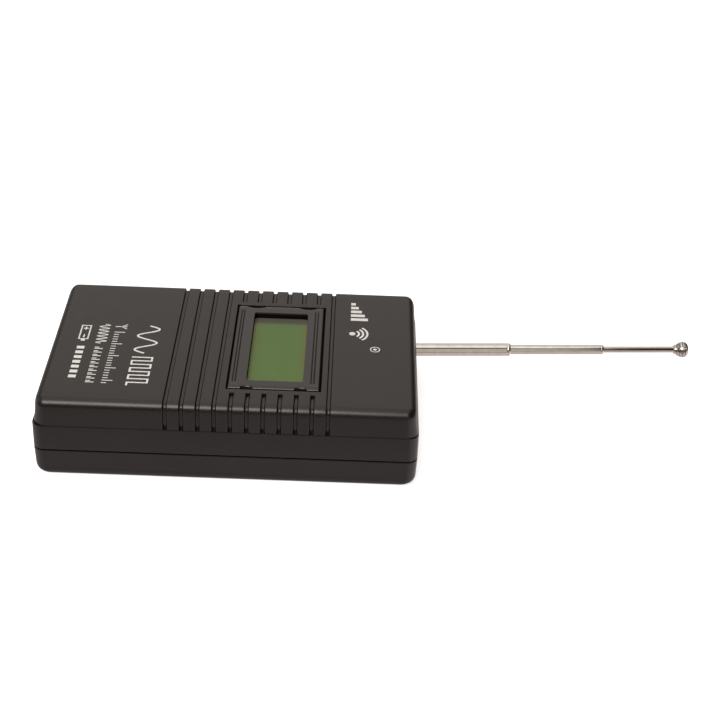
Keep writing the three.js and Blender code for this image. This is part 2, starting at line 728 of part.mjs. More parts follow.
postPlaces.forEach(([x, y], index) => {
  addNode(`case_screw_${index + 1}`, screw(x, y, screwSeat, 2.2, 1.8, 1.3, 10, true), 0x3a3a3a, 0.4, 0.9);
});

export default group;
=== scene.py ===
"""Looks for the handheld frequency counter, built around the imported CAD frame.

Sizes below are millimetres in the CAD frame: origin at the centre of the back face, +X towards the
antenna, +Y towards the side with the controls, +Z out of the display. Meshes are stored in metres.
"""

import json
import math

import bmesh
import bpy
from mathutils import Matrix, Vector


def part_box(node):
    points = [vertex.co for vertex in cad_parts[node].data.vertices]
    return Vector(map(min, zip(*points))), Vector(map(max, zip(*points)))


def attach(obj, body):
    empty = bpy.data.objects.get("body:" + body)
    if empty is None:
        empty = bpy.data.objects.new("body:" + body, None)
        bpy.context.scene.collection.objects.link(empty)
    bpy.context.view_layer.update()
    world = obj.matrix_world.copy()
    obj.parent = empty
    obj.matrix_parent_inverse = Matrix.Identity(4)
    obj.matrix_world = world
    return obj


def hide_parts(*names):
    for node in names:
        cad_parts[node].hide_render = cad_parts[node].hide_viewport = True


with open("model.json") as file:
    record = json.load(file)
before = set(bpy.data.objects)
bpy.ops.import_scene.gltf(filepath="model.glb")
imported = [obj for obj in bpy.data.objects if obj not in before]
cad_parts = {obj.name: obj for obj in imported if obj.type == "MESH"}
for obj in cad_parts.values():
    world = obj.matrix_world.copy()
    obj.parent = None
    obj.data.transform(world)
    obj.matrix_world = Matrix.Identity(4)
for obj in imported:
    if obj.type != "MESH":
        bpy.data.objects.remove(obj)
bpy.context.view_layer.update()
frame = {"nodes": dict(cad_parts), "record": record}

MM = 0.001

# Points of a thick skin that are nearer to each other than this become one.
MERGE = 0.0001

# ---------------------------------------------------------------- sizes shared with the CAD

CASE_LENGTH = 108.5
CASE_WIDTH = 67.7
CASE_TOP = 25.28
WALL = 2.0
CORNER = 3.0
EDGE = 2.3
LOWER_SIDE_EDGE = 1.9
LOWER_END_EDGE = 3.1
PARTING = 8.8
PARTING_GAP = 0.3
STEP = 16.9
UPPER_LENGTH = 106.65
UPPER_WIDTH = 67.4
UPPER_MIDDLE_X = 0.17
END_DRAFT = 0.65

GROOVE_COUNT = 11
GROOVE_DEPTH = 0.7
GROOVE_POCKET = 0.25
POCKET_LENGTH = 0.8
GROOVE_FIRST = -16.8
GROOVE_PITCH = 4.54
GROOVE_STOP_NEAR = -26.25
GROOVE_STOP_FAR = 24.75

DISPLAY_X = 12.8
DISPLAY_Y = -0.3
BEZEL_LENGTH = 26.0
BEZEL_WIDTH = 46.1
BEZEL_TOP = 25.25
BEZEL_FOOT = 18.0
WINDOW_X = 12.95
WINDOW_Y = -0.27
WINDOW_LENGTH = 16.2
WINDOW_WIDTH = 38.1
GLASS_TOP = 23.35

ANTENNA_EXIT = Vector((CASE_LENGTH / 2, 20.9, 12.8))
ANTENNA_LEAN = math.radians(4)

BAY_INNER = -22.3
BAY_HALF_WIDTH = 25.2
BAY_END_HALF_WIDTH = 27.4
DOOR_CLEARANCE = 0.25
DOOR_THICKNESS = 1.9
DOOR_TOP = 8.1
SCREW_PLACES = [(-18.2, -28.4), (-18.2, 28.4), (48.4, -28.4), (48.4, 28.4)]
SCREW_SEAT = 2.6

SWITCH_X = 40.0
SWITCH_Z = 12.0
SWITCH_TRAVEL = 1.5
BUTTON_X = 8.0
BUTTON_Z = 13.2


# ---------------------------------------------------------------- mesh helpers


def piece_from(name, points, faces):
    """A new object from points in millimetres."""
    mesh = bpy.data.meshes.new(name)
    mesh.from_pydata([tuple(c * MM for c in p) for p in points], [], faces)
    mesh.validate()
    obj = bpy.data.objects.new(name, mesh)
    bpy.context.scene.collection.objects.link(obj)
    return obj


def edit(obj, change):
    """Run change(bmesh) on an object's mesh."""
    work = bmesh.new()
    work.from_mesh(obj.data)
    change(work)
    work.to_mesh(obj.data)
    work.free()
    return obj


def outward(obj):
    """Make every face look outwards."""
    return edit(obj, lambda work: bmesh.ops.recalc_face_normals(work, faces=work.faces))


def shade(obj, sharp_degrees=35):
    """Smooth shading that breaks at edges sharper than the given angle."""

    def mark(work):
        limit = math.radians(sharp_degrees)
        for face in work.faces:
            face.smooth = True
        for edge in work.edges:
            edge.smooth = not (len(edge.link_faces) == 2 and edge.calc_face_angle(0) > limit)

    return edit(obj, mark)


def level_normals(obj):
    """Keep flat faces flat where they run into rounded edges."""
    normals = obj.modifiers.new("flat_faces", "WEIGHTED_NORMAL")
    normals.keep_sharp = True
    return obj


def soften(obj, width, limit_degrees=40):
    """Round the hard edges a little and keep flat faces flat."""
    bevel = obj.modifiers.new("soft_edges", "BEVEL")
    bevel.width = width * MM
    bevel.segments = 2
    bevel.limit_method = "ANGLE"
    bevel.angle_limit = math.radians(limit_degrees)
    bevel.miter_outer = "MITER_ARC"
    return level_normals(obj)


def soften_carved(obj, width, limit_degrees=50):
    """Clean up after booleans, then round the hard edges that have room for it."""
    room = 2.5 * width * MM

    def clean(work):
        bmesh.ops.remove_doubles(work, verts=work.verts, dist=0.01 * MM)
        bmesh.ops.dissolve_degenerate(work, edges=work.edges, dist=0.01 * MM)

    def weigh(work):
        weight = work.edges.layers.float.new("bevel_weight_edge")
        for edge in work.edges:
            hard = len(edge.link_faces) == 2 and edge.calc_face_angle(0) > math.radians(limit_degrees)
            nearby = [near.calc_length() for vert in edge.verts for near in vert.link_edges]
            edge[weight] = float(hard and min(nearby) > room)

    edit(shade(edit(obj, clean)), weigh)
    soften(obj, width).modifiers["soft_edges"].limit_method = "WEIGHT"
    return obj


def apply_modifiers(obj):
    depsgraph = bpy.context.evaluated_depsgraph_get()
    mesh = bpy.data.meshes.new_from_object(obj.evaluated_get(depsgraph))
    obj.modifiers.clear()
    obj.data = mesh
    return obj


def carve(obj, cutters, operation="DIFFERENCE"):
    """Cut closed solids out of an object, or join them to it."""
    for cutter in cutters:
        modifier = obj.modifiers.new("carve", "BOOLEAN")
        modifier.operation = operation
        modifier.solver = "EXACT"
        modifier.object = cutter
    apply_modifiers(obj)
    for cutter in cutters:
        bpy.data.objects.remove(cutter)
    return obj


def block(x_min, x_max, y_min, y_max, z_min, z_max):
    corners = [(x, y, z) for x in (x_min, x_max) for y in (y_min, y_max) for z in (z_min, z_max)]
    faces = [(0, 1, 3, 2), (4, 6, 7, 5), (0, 4, 5, 1), (2, 3, 7, 6), (0, 2, 6, 4), (1, 5, 7, 3)]
    return outward(piece_from("block", corners, faces))


def turned(name, profile, sides=48, matrix=None):
    """Solid of revolution about +X from (distance along, radius) pairs; ends on the axis are closed."""
    points = []
    rings = []
    for along, radius in profile:
        if radius < 1e-6:
            rings.append([len(points)])
            points.append((along, 0.0, 0.0))
            continue
        rings.append(list(range(len(points), len(points) + sides)))
        for side in range(sides):
            angle = 2 * math.pi * side / sides
            points.append((along, radius * math.cos(angle), radius * math.sin(angle)))
    faces = []
    closed = len(rings[0]) > 1 and len(rings[-1]) > 1
    pairs = list(zip(rings, rings[1:]))
    if closed:
        pairs.append((rings[-1], rings[0]))
    for first, second in pairs:
        for side in range(sides):
            after = (side + 1) % sides
            if len(first) == 1:
                faces.append((first[0], second[side], second[after]))
            elif len(second) == 1:
                faces.append((first[side], second[0], first[after]))
            else:
                faces.append((first[side], second[side], second[after], first[after]))
    obj = piece_from(name, points, faces)
    if matrix is not None:
        scaled = matrix.copy()
        scaled.translation = matrix.translation * MM
        obj.data.transform(scaled)
    return outward(obj)


def upright(x, y, z=0.0):
    """Matrix that stands a solid turned about +X up along +Z at a place."""
    return Matrix.Translation((x, y, z)) @ Matrix.Rotation(math.radians(-90), 4, "Y")


def crosswise(x, y, z):
    """Matrix that lays a solid turned about +X along +Y at a place."""
    return Matrix.Translation((x, y, z)) @ Matrix.Rotation(math.radians(90), 4, "Z")


def rounded_outline(length, width, radius, segments=10):
    points = []
    for sign_x, sign_y, start in ((1, 1, 0), (-1, 1, 90), (-1, -1, 180), (1, -1, 270)):
        for step in range(segments + 1):
            angle = math.radians(start + 90 * step / segments)
            points.append(
                (
                    sign_x * (length / 2 - radius) + radius * math.cos(angle),
                    sign_y * (width / 2 - radius) + radius * math.sin(angle),
                )
            )
    return points


def loft(name, levels, ring=False):
    """Closed body through rounded rectangles (z, length, width, radius).

    A ring has a hole down its middle.
    """
    loops = []
    for z, length, width, radius in levels:
        loops.append([(x, y, z) for x, y in rounded_outline(length, width, radius)])
    count = len(loops[0])
    points = [p for loop in loops for p in loop]
    pairs = [(i, i + 1) for i in range(len(loops) - 1)]
    if ring:
        pairs.append((len(loops) - 1, 0))
    faces = []
    for low, high in pairs:
        for i in range(count):
            j = (i + 1) % count
            faces.append((low * count + i, low * count + j, high * count + j, high * count + i))
    if not ring:
        faces.append(tuple(range(count)))
        faces.append(tuple((len(loops) - 1) * count + i for i in range(count)))
    return outward(piece_from(name, points, faces))


def thick_skin(name, outer, inner, faces):
    """Closed body between two layers of points that share the same open faces."""
    count = len(outer)
    borders = {}
    for face in faces:
        for start, end in zip(face, face[1:] + face[:1]):
            borders.setdefault(frozenset((start, end)), []).append((start, end))
    closed = faces + [tuple(count + i for i in reversed(face)) for face in faces]
    for (start, end), *shared in borders.values():
        if not shared:
            closed.append((end, start, count + start, count + end))

    def weld(work):
        bmesh.ops.remove_doubles(work, verts=work.verts, dist=MERGE * MM)
        bmesh.ops.delete(work, geom=[v for v in work.verts if not v.link_faces], context="VERTS")

    return outward(edit(piece_from(name, outer + inner, closed), weld))


def edge_inset(away, radius):
    """How far a rounded edge has drawn in at a distance from the face it runs into."""
    return radius - math.sqrt(radius**2 - max(radius - away, 0.0) ** 2)


# ---------------------------------------------------------------- materials


def node(tree, kind, **values):
    made = tree.nodes.new(kind)
    for key, value in values.items():
        setattr(made, key, value)
    return made


def noise(tree, vector, scale, detail=3.0, roughness=0.55):
    made = node(tree, "ShaderNodeTexNoise")
    made.inputs["Scale"].default_value = scale
    made.inputs["Detail"].default_value = detail
    made.inputs["Roughness"].default_value = roughness
    tree.links.new(vector, made.inputs["Vector"])
    return made.outputs["Fac"]


def map_value(tree, value, low, high, from_low=0.3, from_high=0.7):
    made = node(tree, "ShaderNodeMapRange")
    made.inputs["From Min"].default_value = from_low
    made.inputs["From Max"].default_value = from_high
    made.inputs["To Min"].default_value = low
    made.inputs["To Max"].default_value = high
    tree.links.new(value, made.inputs["Value"])
    return made.outputs["Result"]


def mix_colour(tree, factor, first, second):
    made = node(tree, "ShaderNodeMix", data_type="RGBA")
    tree.links.new(factor, made.inputs["Factor"])
    for socket, colour in ((made.inputs[6], first), (made.inputs[7], second)):
        if isinstance(colour, tuple):
            socket.default_value = (*colour, 1.0)
        else:
            tree.links.new(colour, socket)
    return made.outputs[2]


def calculate(tree, operation, *terms):
    """Arithmetic on one or two terms, each a socket or a constant."""
    made = node(tree, "ShaderNodeMath", operation=operation)
    for socket, term in zip(made.inputs, terms):
        if isinstance(term, float):
            socket.default_value = term
        else:
            tree.links.new(term, socket)
    return made.outputs["Value"]


def roughen(tree, shader, height, strength, distance):
    """Fine relief from a texture; the distance is in millimetres."""
    relief = node(tree, "ShaderNodeBump")
    relief.inputs["Strength"].default_value = strength
    relief.inputs["Distance"].default_value = distance * MM
    tree.links.new(height, relief.inputs["Height"])
    tree.links.new(relief.outputs["Normal"], shader.inputs["Normal"])


def start_material(name):
    material = bpy.data.materials.new(name)
    material.use_nodes = True
    tree = material.node_tree
    shader = tree.nodes["Principled BSDF"]
    place = node(tree, "ShaderNodeTexCoord").outputs["Object"]
    return material, tree, shader, place


def surface(
    name,
    dark,
    light,
    rough=(0.4, 0.5),
    metallic=0.0,
    grain=3000.0,
    bump=0.1,
    bump_distance=0.02,
    blotch=60.0,
    specular=0.5,
    coat=0.0,
):
    """Solid material with broad colour variation, fine grain in bump and uneven roughness."""
    material, tree, shader, place = start_material(name)
    broad = noise(tree, place, blotch, 4.0)
    fine = noise(tree, place, grain, 2.0)
    colour = mix_colour(tree, map_value(tree, broad, 0.0, 1.0), dark, light)
    tree.links.new(colour, shader.inputs["Base Color"])
    tree.links.new(map_value(tree, broad, rough[0], rough[1]), shader.inputs["Roughness"])
    shader.inputs["Metallic"].default_value = metallic
    shader.inputs["Specular IOR Level"].default_value = specular
    shader.inputs["Coat Weight"].default_value = coat
    shader.inputs["Coat Roughness"].default_value = 0.08
    roughen(tree, shader, fine, bump, bump_distance)
    return material


def moulded_plastic():
    """Satin black moulding: fine spark grain, faint handling marks and edges polished by wear."""
    material, tree, shader, place = start_material("case_plastic")
    broad = noise(tree, place, 45.0, 4.0)
    smudge = noise(tree, place, 160.0, 5.0, 0.65)
    grain = noise(tree, place, 5200.0, 2.0)
    patches = map_value(tree, broad, 0.0, 1.0)
    base = mix_colour(tree, patches, (0.0062, 0.0052, 0.0046), (0.0082, 0.0069, 0.0061))
    pointiness = node(tree, "ShaderNodeNewGeometry").outputs["Pointiness"]
    wear = map_value(tree, pointiness, 0.0, 1.0, 0.52, 0.60)
    worn = mix_colour(tree, wear, base, (0.012, 0.010, 0.009))
    tree.links.new(worn, shader.inputs["Base Color"])
    tree.links.new(map_value(tree, smudge, 0.27, 0.33), shader.inputs["Roughness"])
    roughen(tree, shader, grain, 0.02, 0.02)
    return material


def display_film():
    """Yellow-green reflective display: even in the middle, yellower at the rim, with a grey band of painted
    shade and painted reflection under the far edge.
    """
    material, tree, shader, place = start_material("display_glass")
    split = node(tree, "ShaderNodeSeparateXYZ")
    tree.links.new(place, split.inputs["Vector"])
    cloud = noise(tree, place, 90.0, 3.0)
    middle = mix_colour(tree, map_value(tree, cloud, 0.0, 1.0), (0.093, 0.177, 0.042), (0.108, 0.183, 0.045))
    off_axis = calculate(tree, "ABSOLUTE", calculate(tree, "SUBTRACT", split.outputs["X"], WINDOW_X * MM))
    rim = map_value(tree, off_axis, 0.0, 1.0, 5.5 * MM, 8.6 * MM)
    yellowed = mix_colour(tree, rim, middle, (0.128, 0.152, 0.039))
    # Painted shade and reflection: the film turns grey towards the far edge of the window, where the bezel's
    # wall would shade it and show in its glass.
    far_edge = WINDOW_Y + WINDOW_WIDTH / 2
    shadow = map_value(tree, split.outputs["Y"], 0.0, 1.0, (far_edge - 4.6) * MM, (far_edge - 2.0) * MM)
    colour = mix_colour(tree, shadow, yellowed, (0.122, 0.118, 0.092))
    tree.links.new(colour, shader.inputs["Base Color"])
    tree.links.new(map_value(tree, cloud, 0.12, 0.18), shader.inputs["Roughness"])
    shader.inputs["Specular IOR Level"].default_value = 0.25
    roughen(tree, shader, noise(tree, place, 700.0), 0.05, 0.01)
    return material


def drawn_metal(name, colour, rough):
    """Bright plating over drawn tube: fine scratches that run along the tube."""
    material, tree, shader, place = start_material(name)
    turn = node(tree, "ShaderNodeMapping")
    turn.inputs["Rotation"].default_value = (0.0, 0.0, -ANTENNA_LEAN)
    turn.inputs["Scale"].default_value = (90.0, 5200.0, 5200.0)
    tree.links.new(place, turn.inputs["Vector"])
    lines = noise(tree, turn.outputs["Vector"], 1.0, 3.0)
    spots = noise(tree, place, 520.0, 5.0)
    dull = tuple(0.86 * c for c in colour)
    mottled = mix_colour(tree, map_value(tree, spots, 0.0, 1.0), colour, dull)
    tree.links.new(mottled, shader.inputs["Base Color"])
    tree.links.new(map_value(tree, lines, rough, rough + 0.06), shader.inputs["Roughness"])
    shader.inputs["Metallic"].default_value = 1.0
    roughen(tree, shader, lines, 0.03, 0.002)
    return material


case_plastic = moulded_plastic()
control_plastic = surface(
    "control_plastic", (0.006, 0.006, 0.006), (0.009, 0.009, 0.008), (0.32, 0.42), bump=0.12)
bezel_lacquer = surface(
    "bezel_lacquer", (0.0150, 0.0137, 0.0135), (0.0182, 0.0166, 0.0164), (0.22, 0.30), grain=2600.0,
    bump=0.06, blotch=120.0, specular=0.58)
# Near-black for the strips in the gaps round the display: painted shade where those gaps are only in shade.
gap_shade_black = surface(
    "gap_shade_black", (0.0015, 0.0015, 0.0015), (0.0025, 0.0024, 0.0023), (0.6, 0.7), grain=2400.0,
    bump=0.1, specular=0.12)
ink = surface(
    "white_ink", (0.86, 0.85, 0.83), (0.94, 0.93, 0.91), (0.5, 0.6), grain=4000.0, bump=0.05, blotch=900.0)
plating = drawn_metal("antenna_plating", (0.80, 0.76, 0.71), 0.07)
rod_plating = drawn_metal("rod_plating", (0.70, 0.67, 0.64), 0.04)
materials = {
    "case_plastic": case_plastic,
    "control_plastic": control_plastic,
    "bezel_metal": bezel_lacquer,
    "display_glass": display_film(),
    "antenna_plating": plating,
}

# Solid materials of the inner parts: dark colour, light colour, range of roughness and what else is set.
INNER_MATERIALS = {
    "backlight_plastic": ((0.72, 0.74, 0.60), (0.82, 0.84, 0.70), (0.3, 0.4), {}),
    "circuit_board": (
        (0.012, 0.075, 0.030), (0.022, 0.120, 0.048), (0.28, 0.4), {"blotch": 420.0, "coat": 0.3}),
    "chip_plastic": ((0.010, 0.010, 0.010), (0.016, 0.016, 0.016), (0.45, 0.6), {}),
    "plated_steel": (
        (0.50, 0.50, 0.48), (0.62, 0.62, 0.60), (0.22, 0.38), {"metallic": 1.0, "blotch": 300.0}),
    "dark_steel": (
        (0.035, 0.034, 0.034), (0.060, 0.058, 0.056), (0.3, 0.45), {"metallic": 0.9, "blotch": 500.0}),
    "capacitor_sleeve": ((0.010, 0.016, 0.050), (0.014, 0.022, 0.070), (0.22, 0.3), {}),
    "trimmer_plastic": ((0.020, 0.090, 0.360), (0.026, 0.110, 0.430), (0.35, 0.45), {}),
    "battery_jacket": (
        (0.020, 0.020, 0.022), (0.032, 0.032, 0.036), (0.2, 0.32), {"metallic": 0.3, "coat": 0.5}),
    "red_insulation": ((0.32, 0.012, 0.010), (0.42, 0.018, 0.014), (0.4, 0.5), {}),
    "black_insulation": ((0.012, 0.012, 0.012), (0.020, 0.020, 0.020), (0.4, 0.5), {}),
    "foam": (
        (0.030, 0.030, 0.030), (0.060, 0.060, 0.060), (0.85, 0.95),
        {"grain": 1400.0, "bump": 0.9, "bump_distance": 0.3, "blotch": 700.0}),
    "saddle_metal": (
        (0.50, 0.36, 0.14), (0.60, 0.45, 0.19), (0.25, 0.4), {"metallic": 1.0, "blotch": 300.0}),
}
for slot_name, (dark_side, light_side, roughness_range, others) in INNER_MATERIALS.items():
    materials[slot_name] = surface(slot_name, dark_side, light_side, roughness_range, **others)



def dress(obj, material, body, slot, *replaced):
    """Give a new piece its material and its moving body, and hide the CAD nodes it stands for. The slot
    argument is not used.
    """
    obj.data.materials.clear()
    obj.data.materials.append(material)
    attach(obj, body)
    if replaced:
        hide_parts(*replaced)
    return obj


# ---------------------------------------------------------------- upper case with its grooves


def end_stations(half_length):
    """Distances along the case where the rounded end needs a section, from the end inwards."""
    return [half_length - CORNER * (1 - math.cos(math.radians(angle))) for angle in range(0, 91, 9)]


def groove_centres():
    return [GROOVE_FIRST + GROOVE_PITCH * i for i in range(GROOVE_COUNT)]


# Cross-section of one groove: (distance from its middle, share of the full depth).
GROOVE_SECTION = [
    (0.0, 1.0), (0.34, 1.0), (0.43, 0.94), (0.48, 0.80), (0.60, 0.22), (0.65, 0.06), (0.74, 0.0)]

# Half the length over which a groove runs out where it stops short of the display.
BRIDGE_SLOPE = 0.06

# Length at each end of the case over which the inside of the wall closes up behind the end face.
END_ZONE = 4.5

# Opening in the top for the display, and how its edge rolls over: (distance from the opening, drop).
HOLE_X = (DISPLAY_X - BEZEL_LENGTH / 2 - 0.35, DISPLAY_X + BEZEL_LENGTH / 2 + 0.5)
HOLE_Y = (DISPLAY_Y - BEZEL_WIDTH / 2 - 0.95, DISPLAY_Y + BEZEL_WIDTH / 2 + 0.35)
HOLE_RIM = [(0.0, 0.14), (0.05, 0.05), (0.14, 0.01), (0.28, 0.0)]


def rise(value, points):
    """Straight-line lookup in a list of (position, height), flat beyond its ends."""
    if value <= points[0][0]:
        return points[0][1]
    for (x0, y0), (x1, y1) in zip(points, points[1:]):
        if value <= x1:
            return y0 + (y1 - y0) * (value - x0) / (x1 - x0)
    return points[-1][1]


def groove_depth(x, y):
    """Depth of the grooves at a point; those in line with the display end before it in a deeper pocket."""
    nearest = min(groove_centres(), key=lambda centre: abs(x - centre))
    share = rise(abs(x - nearest), GROOVE_SECTION)
    if not HOLE_X[0] < nearest < HOLE_X[1]:
        return GROOVE_DEPTH * share
    into_bridge = min(y - GROOVE_STOP_NEAR, GROOVE_STOP_FAR - y)
    depth = GROOVE_DEPTH
    if -POCKET_LENGTH < into_bridge:
        depth += GROOVE_POCKET
    return depth * share * rise(into_bridge, [(-BRIDGE_SLOPE, 1.0), (BRIDGE_SLOPE, 0.0)])


def rim_drop(x, y):
    """How far the surface rolls over at the edge of the display opening."""
    out_x = max(HOLE_X[0] - x, x - HOLE_X[1], 0.0)
    out_y = max(HOLE_Y[0] - y, y - HOLE_Y[1], 0.0)
    return rise(math.hypot(out_x, out_y), HOLE_RIM)


def top_stations_x():
    half = UPPER_LENGTH / 2
    values = set()
    for sign in (-1, 1):
        values.update(round(UPPER_MIDDLE_X + sign * v, 4) for v in end_stations(half))
    for centre in groove_centres():
        for offset, _ in GROOVE_SECTION:
            values.update((round(centre - offset, 4), round(centre + offset, 4)))
    for edge, sign in ((HOLE_X[0], -1), (HOLE_X[1], 1)):
        values.update(round(edge + sign * offset, 4) for offset, _ in HOLE_RIM)
    spacing = 3.5
    clearance = 1.2
    end_margin = 5.0
    filler = -half + end_margin
    while filler < half - end_margin:
        if min(abs(filler - v) for v in values) > clearance:
            values.add(round(filler, 4))
        filler += spacing
    return sorted(values)


def top_stations_y():
    values = {-28.0, 28.0}
    for edge, sign in ((HOLE_Y[0], -1), (HOLE_Y[1], 1)):
        values.update(round(edge + sign * offset, 4) for offset, _ in HOLE_RIM)
    for stop in (GROOVE_STOP_NEAR, GROOVE_STOP_FAR):
        inward = math.copysign(1.0, stop)
        for offset in (-BRIDGE_SLOPE, BRIDGE_SLOPE, POCKET_LENGTH - 0.02, POCKET_LENGTH + 0.08):
            values.add(round(stop + inward * offset, 4))
    for filler in range(-20, 21, 5):
        values.add(float(filler))
    return sorted(values)


def section_point(place, x, skin=0.0):
    """Point of the cross-section at x: near wall, near edge, flat top, far edge or far wall.

    With a skin thickness it is the matching point on the inside of the wall, which has no grooves.
    """
    kind, value, sign = place
    from_middle = x - UPPER_MIDDLE_X
    inward = max(UPPER_LENGTH / 2 - abs(from_middle), 0.0)
    at_end = max(1 - inward / CORNER, 0.0)
    reference_y = value if kind == "flat" else sign * UPPER_WIDTH / 2
    depth = 0.0 if skin else groove_depth(x, reference_y)
    inward = max(inward - skin, inward * (1 - skin / END_ZONE))
    x = UPPER_MIDDLE_X + math.copysign(UPPER_LENGTH / 2 - skin - inward, from_middle)
    edge = EDGE - skin
    half_width = UPPER_WIDTH / 2 - skin - edge_inset(inward, CORNER - skin)
    top = CASE_TOP - skin - edge_inset(inward, edge)
    if kind == "wall":
        low = STEP - 0.5
        pocket = depth / GROOVE_DEPTH * GROOVE_POCKET if value < 0.2 else 0.0
        lean = math.copysign(END_DRAFT * at_end * (1 - value), x)
        return (x + lean, sign * (half_width - depth - pocket), low + value * (top - edge - low))
    if kind == "edge":
        angle = math.radians(value)
        radius = edge - depth
        y = half_width - edge + radius * math.cos(angle)
        return (x, sign * y, top - edge + radius * math.sin(angle))
    limit = half_width - edge
    y = max(-limit, min(limit, value))
    drop = 0.0 if skin else depth + rim_drop(x, y)
    return (x, y, top - drop)


def upper_case():
    flats = top_stations_y()
    wall_shares = (0.0, 0.05, 0.16, 0.22, 0.5, 0.75)
    edge_angles = (0, 11, 22, 34, 45, 56, 68, 79, 90)
    places = [("wall", share, -1) for share in wall_shares]
    places += [("edge", angle, -1) for angle in edge_angles]
    places += [("flat", y, 0) for y in flats]
    places += [("edge", angle, 1) for angle in reversed(edge_angles)]
    places += [("wall", share, 1) for share in reversed(wall_shares)]
    stations = top_stations_x()
    outside = [section_point(place, x) for x in stations for place in places]
    inside = [section_point(place, x, WALL) for x in stations for place in places]
    count = len(places)
    faces = []
    for i in range(len(stations) - 1):
        middle_x = (stations[i] + stations[i + 1]) / 2
        for j in range(count - 1):
            flat = places[j][0] == "flat" and places[j + 1][0] == "flat"
            middle_y = (places[j][1] + places[j + 1][1]) / 2 if flat else 99.0
            open_here = HOLE_X[0] < middle_x < HOLE_X[1] and HOLE_Y[0] < middle_y < HOLE_Y[1]
            if not open_here:
                first = i * count + j
                faces.append((first, first + 1, first + count + 1, first + count))
    for i in (0, len(stations) - 1):
        faces.append(tuple(i * count + j for j in range(count)))
    obj = thick_skin("upper_case", outside, inside, faces)
    ends = [f.index for f in obj.data.polygons if len(f.vertices) > 10]

    def inset_ends(work):
        work.faces.ensure_lookup_table()
        bmesh.ops.inset_individual(work, faces=[work.faces[i] for i in ends], thickness=0.35 * MM)

    edit(obj, inset_ends)
    return level_normals(shade(obj, 42))


dress(upper_case(), case_plastic, "case", "case_plastic", "top_shell")


# ---------------------------------------------------------------- waist, lower case and battery door


def antenna_matrix():
    return Matrix.Translation(ANTENNA_EXIT) @ Matrix.Rotation(ANTENNA_LEAN, 4, "Z")


def flared_hole(depth, radius, flare_depth, matrix):
    """Cutter for a round hole that widens at its mouth."""
    mouth = radius + 0.35
    profile = [(-depth, 0), (-depth, radius), (-flare_depth, radius), (0.05, mouth), (3, mouth), (3, 0)]
    return turned("hole", profile, matrix=matrix)


def waist():
    """Lower band of the upper moulding, from the step down to the parting line."""
    low = PARTING + PARTING_GAP / 2
    rim = 0.28
    levels = [
        (low + rim, CASE_LENGTH, CASE_WIDTH, CORNER),
        (STEP - rim, CASE_LENGTH, CASE_WIDTH, CORNER),
        (STEP - rim * 0.3, CASE_LENGTH - rim * 0.6, CASE_WIDTH - rim * 0.3, CORNER - 0.1),
        (STEP, CASE_LENGTH - 2 * rim, CASE_WIDTH - 0.6 * rim, CORNER - rim),
        (STEP - 0.02, CASE_LENGTH - 2.2 * rim, UPPER_WIDTH + 0.06, CORNER + 0.1),
        (STEP - 0.15, CASE_LENGTH - 2.5 * rim, UPPER_WIDTH + 0.02, CORNER),
        (STEP - 0.25, CASE_LENGTH - 2.8 * rim, UPPER_WIDTH - 0.1, CORNER),
        (STEP - 0.25, CASE_LENGTH - 2 * WALL - 1.6, CASE_WIDTH - 2 * WALL, 1.5),
        (low, CASE_LENGTH - 2 * WALL, CASE_WIDTH - 2 * WALL, 1.5),
        (low, CASE_LENGTH - 2 * rim, CASE_WIDTH - 2 * rim, CORNER - rim),
        (low + rim * 0.3, CASE_LENGTH - rim * 0.6, CASE_WIDTH - rim * 0.6, CORNER - 0.1),
    ]
    band = loft("waist", levels, ring=True)
    slot_half = SWITCH_TRAVEL + 1.5 + 0.4
    side = CASE_WIDTH / 2
    antenna_hole = flared_hole(8, 2.6, 0.25, Matrix.Translation((0, 0, -0.3)) @ antenna_matrix())
    button_hole = flared_hole(5, 2.3, 0.3, crosswise(BUTTON_X, side, BUTTON_Z))
    slot_low = SWITCH_Z - 1.4
    slot_high = SWITCH_Z + 1.4
    slot = block(SWITCH_X - slot_half, SWITCH_X + slot_half, side - 5, side + 5, slot_low, slot_high)
    carve(band, [antenna_hole, button_hole, slot])
    return soften_carved(band, 0.1)


def lower_outline():
    """Outer levels of the lower moulding from the flat back up to the parting line."""
    top = PARTING - PARTING_GAP / 2
    rim = 0.25
    length = CASE_LENGTH - 0.4
    width = CASE_WIDTH - 0.4
    levels = []
    for step in range(11):
        z = LOWER_END_EDGE * (1 - math.cos(math.radians(9 * step)))
        end_inset = edge_inset(z, LOWER_END_EDGE)
        side_inset = edge_inset(z, LOWER_SIDE_EDGE)
        levels.append((z, length - 2 * end_inset, width - 2 * side_inset, CORNER))
    levels.append((top - rim, CASE_LENGTH, CASE_WIDTH, CORNER))
    levels.append((top - rim * 0.3, CASE_LENGTH - rim * 0.6, CASE_WIDTH - rim * 0.6, CORNER - 0.1))
    levels.append((top, CASE_LENGTH - 2 * rim, CASE_WIDTH - 2 * rim, CORNER - rim))
    return levels


def door_region(clearance):
    floor = block(
        -CASE_LENGTH, BAY_INNER + clearance, -BAY_HALF_WIDTH - clearance, BAY_HALF_WIDTH + clearance, -5,
        DOOR_TOP + clearance)
    end = block(
        -CASE_LENGTH, -CASE_LENGTH / 2 + WALL + clearance, -BAY_END_HALF_WIDTH - clearance,
        BAY_END_HALF_WIDTH + clearance, -5, DOOR_TOP + clearance)
    return carve(floor, [end], "UNION")


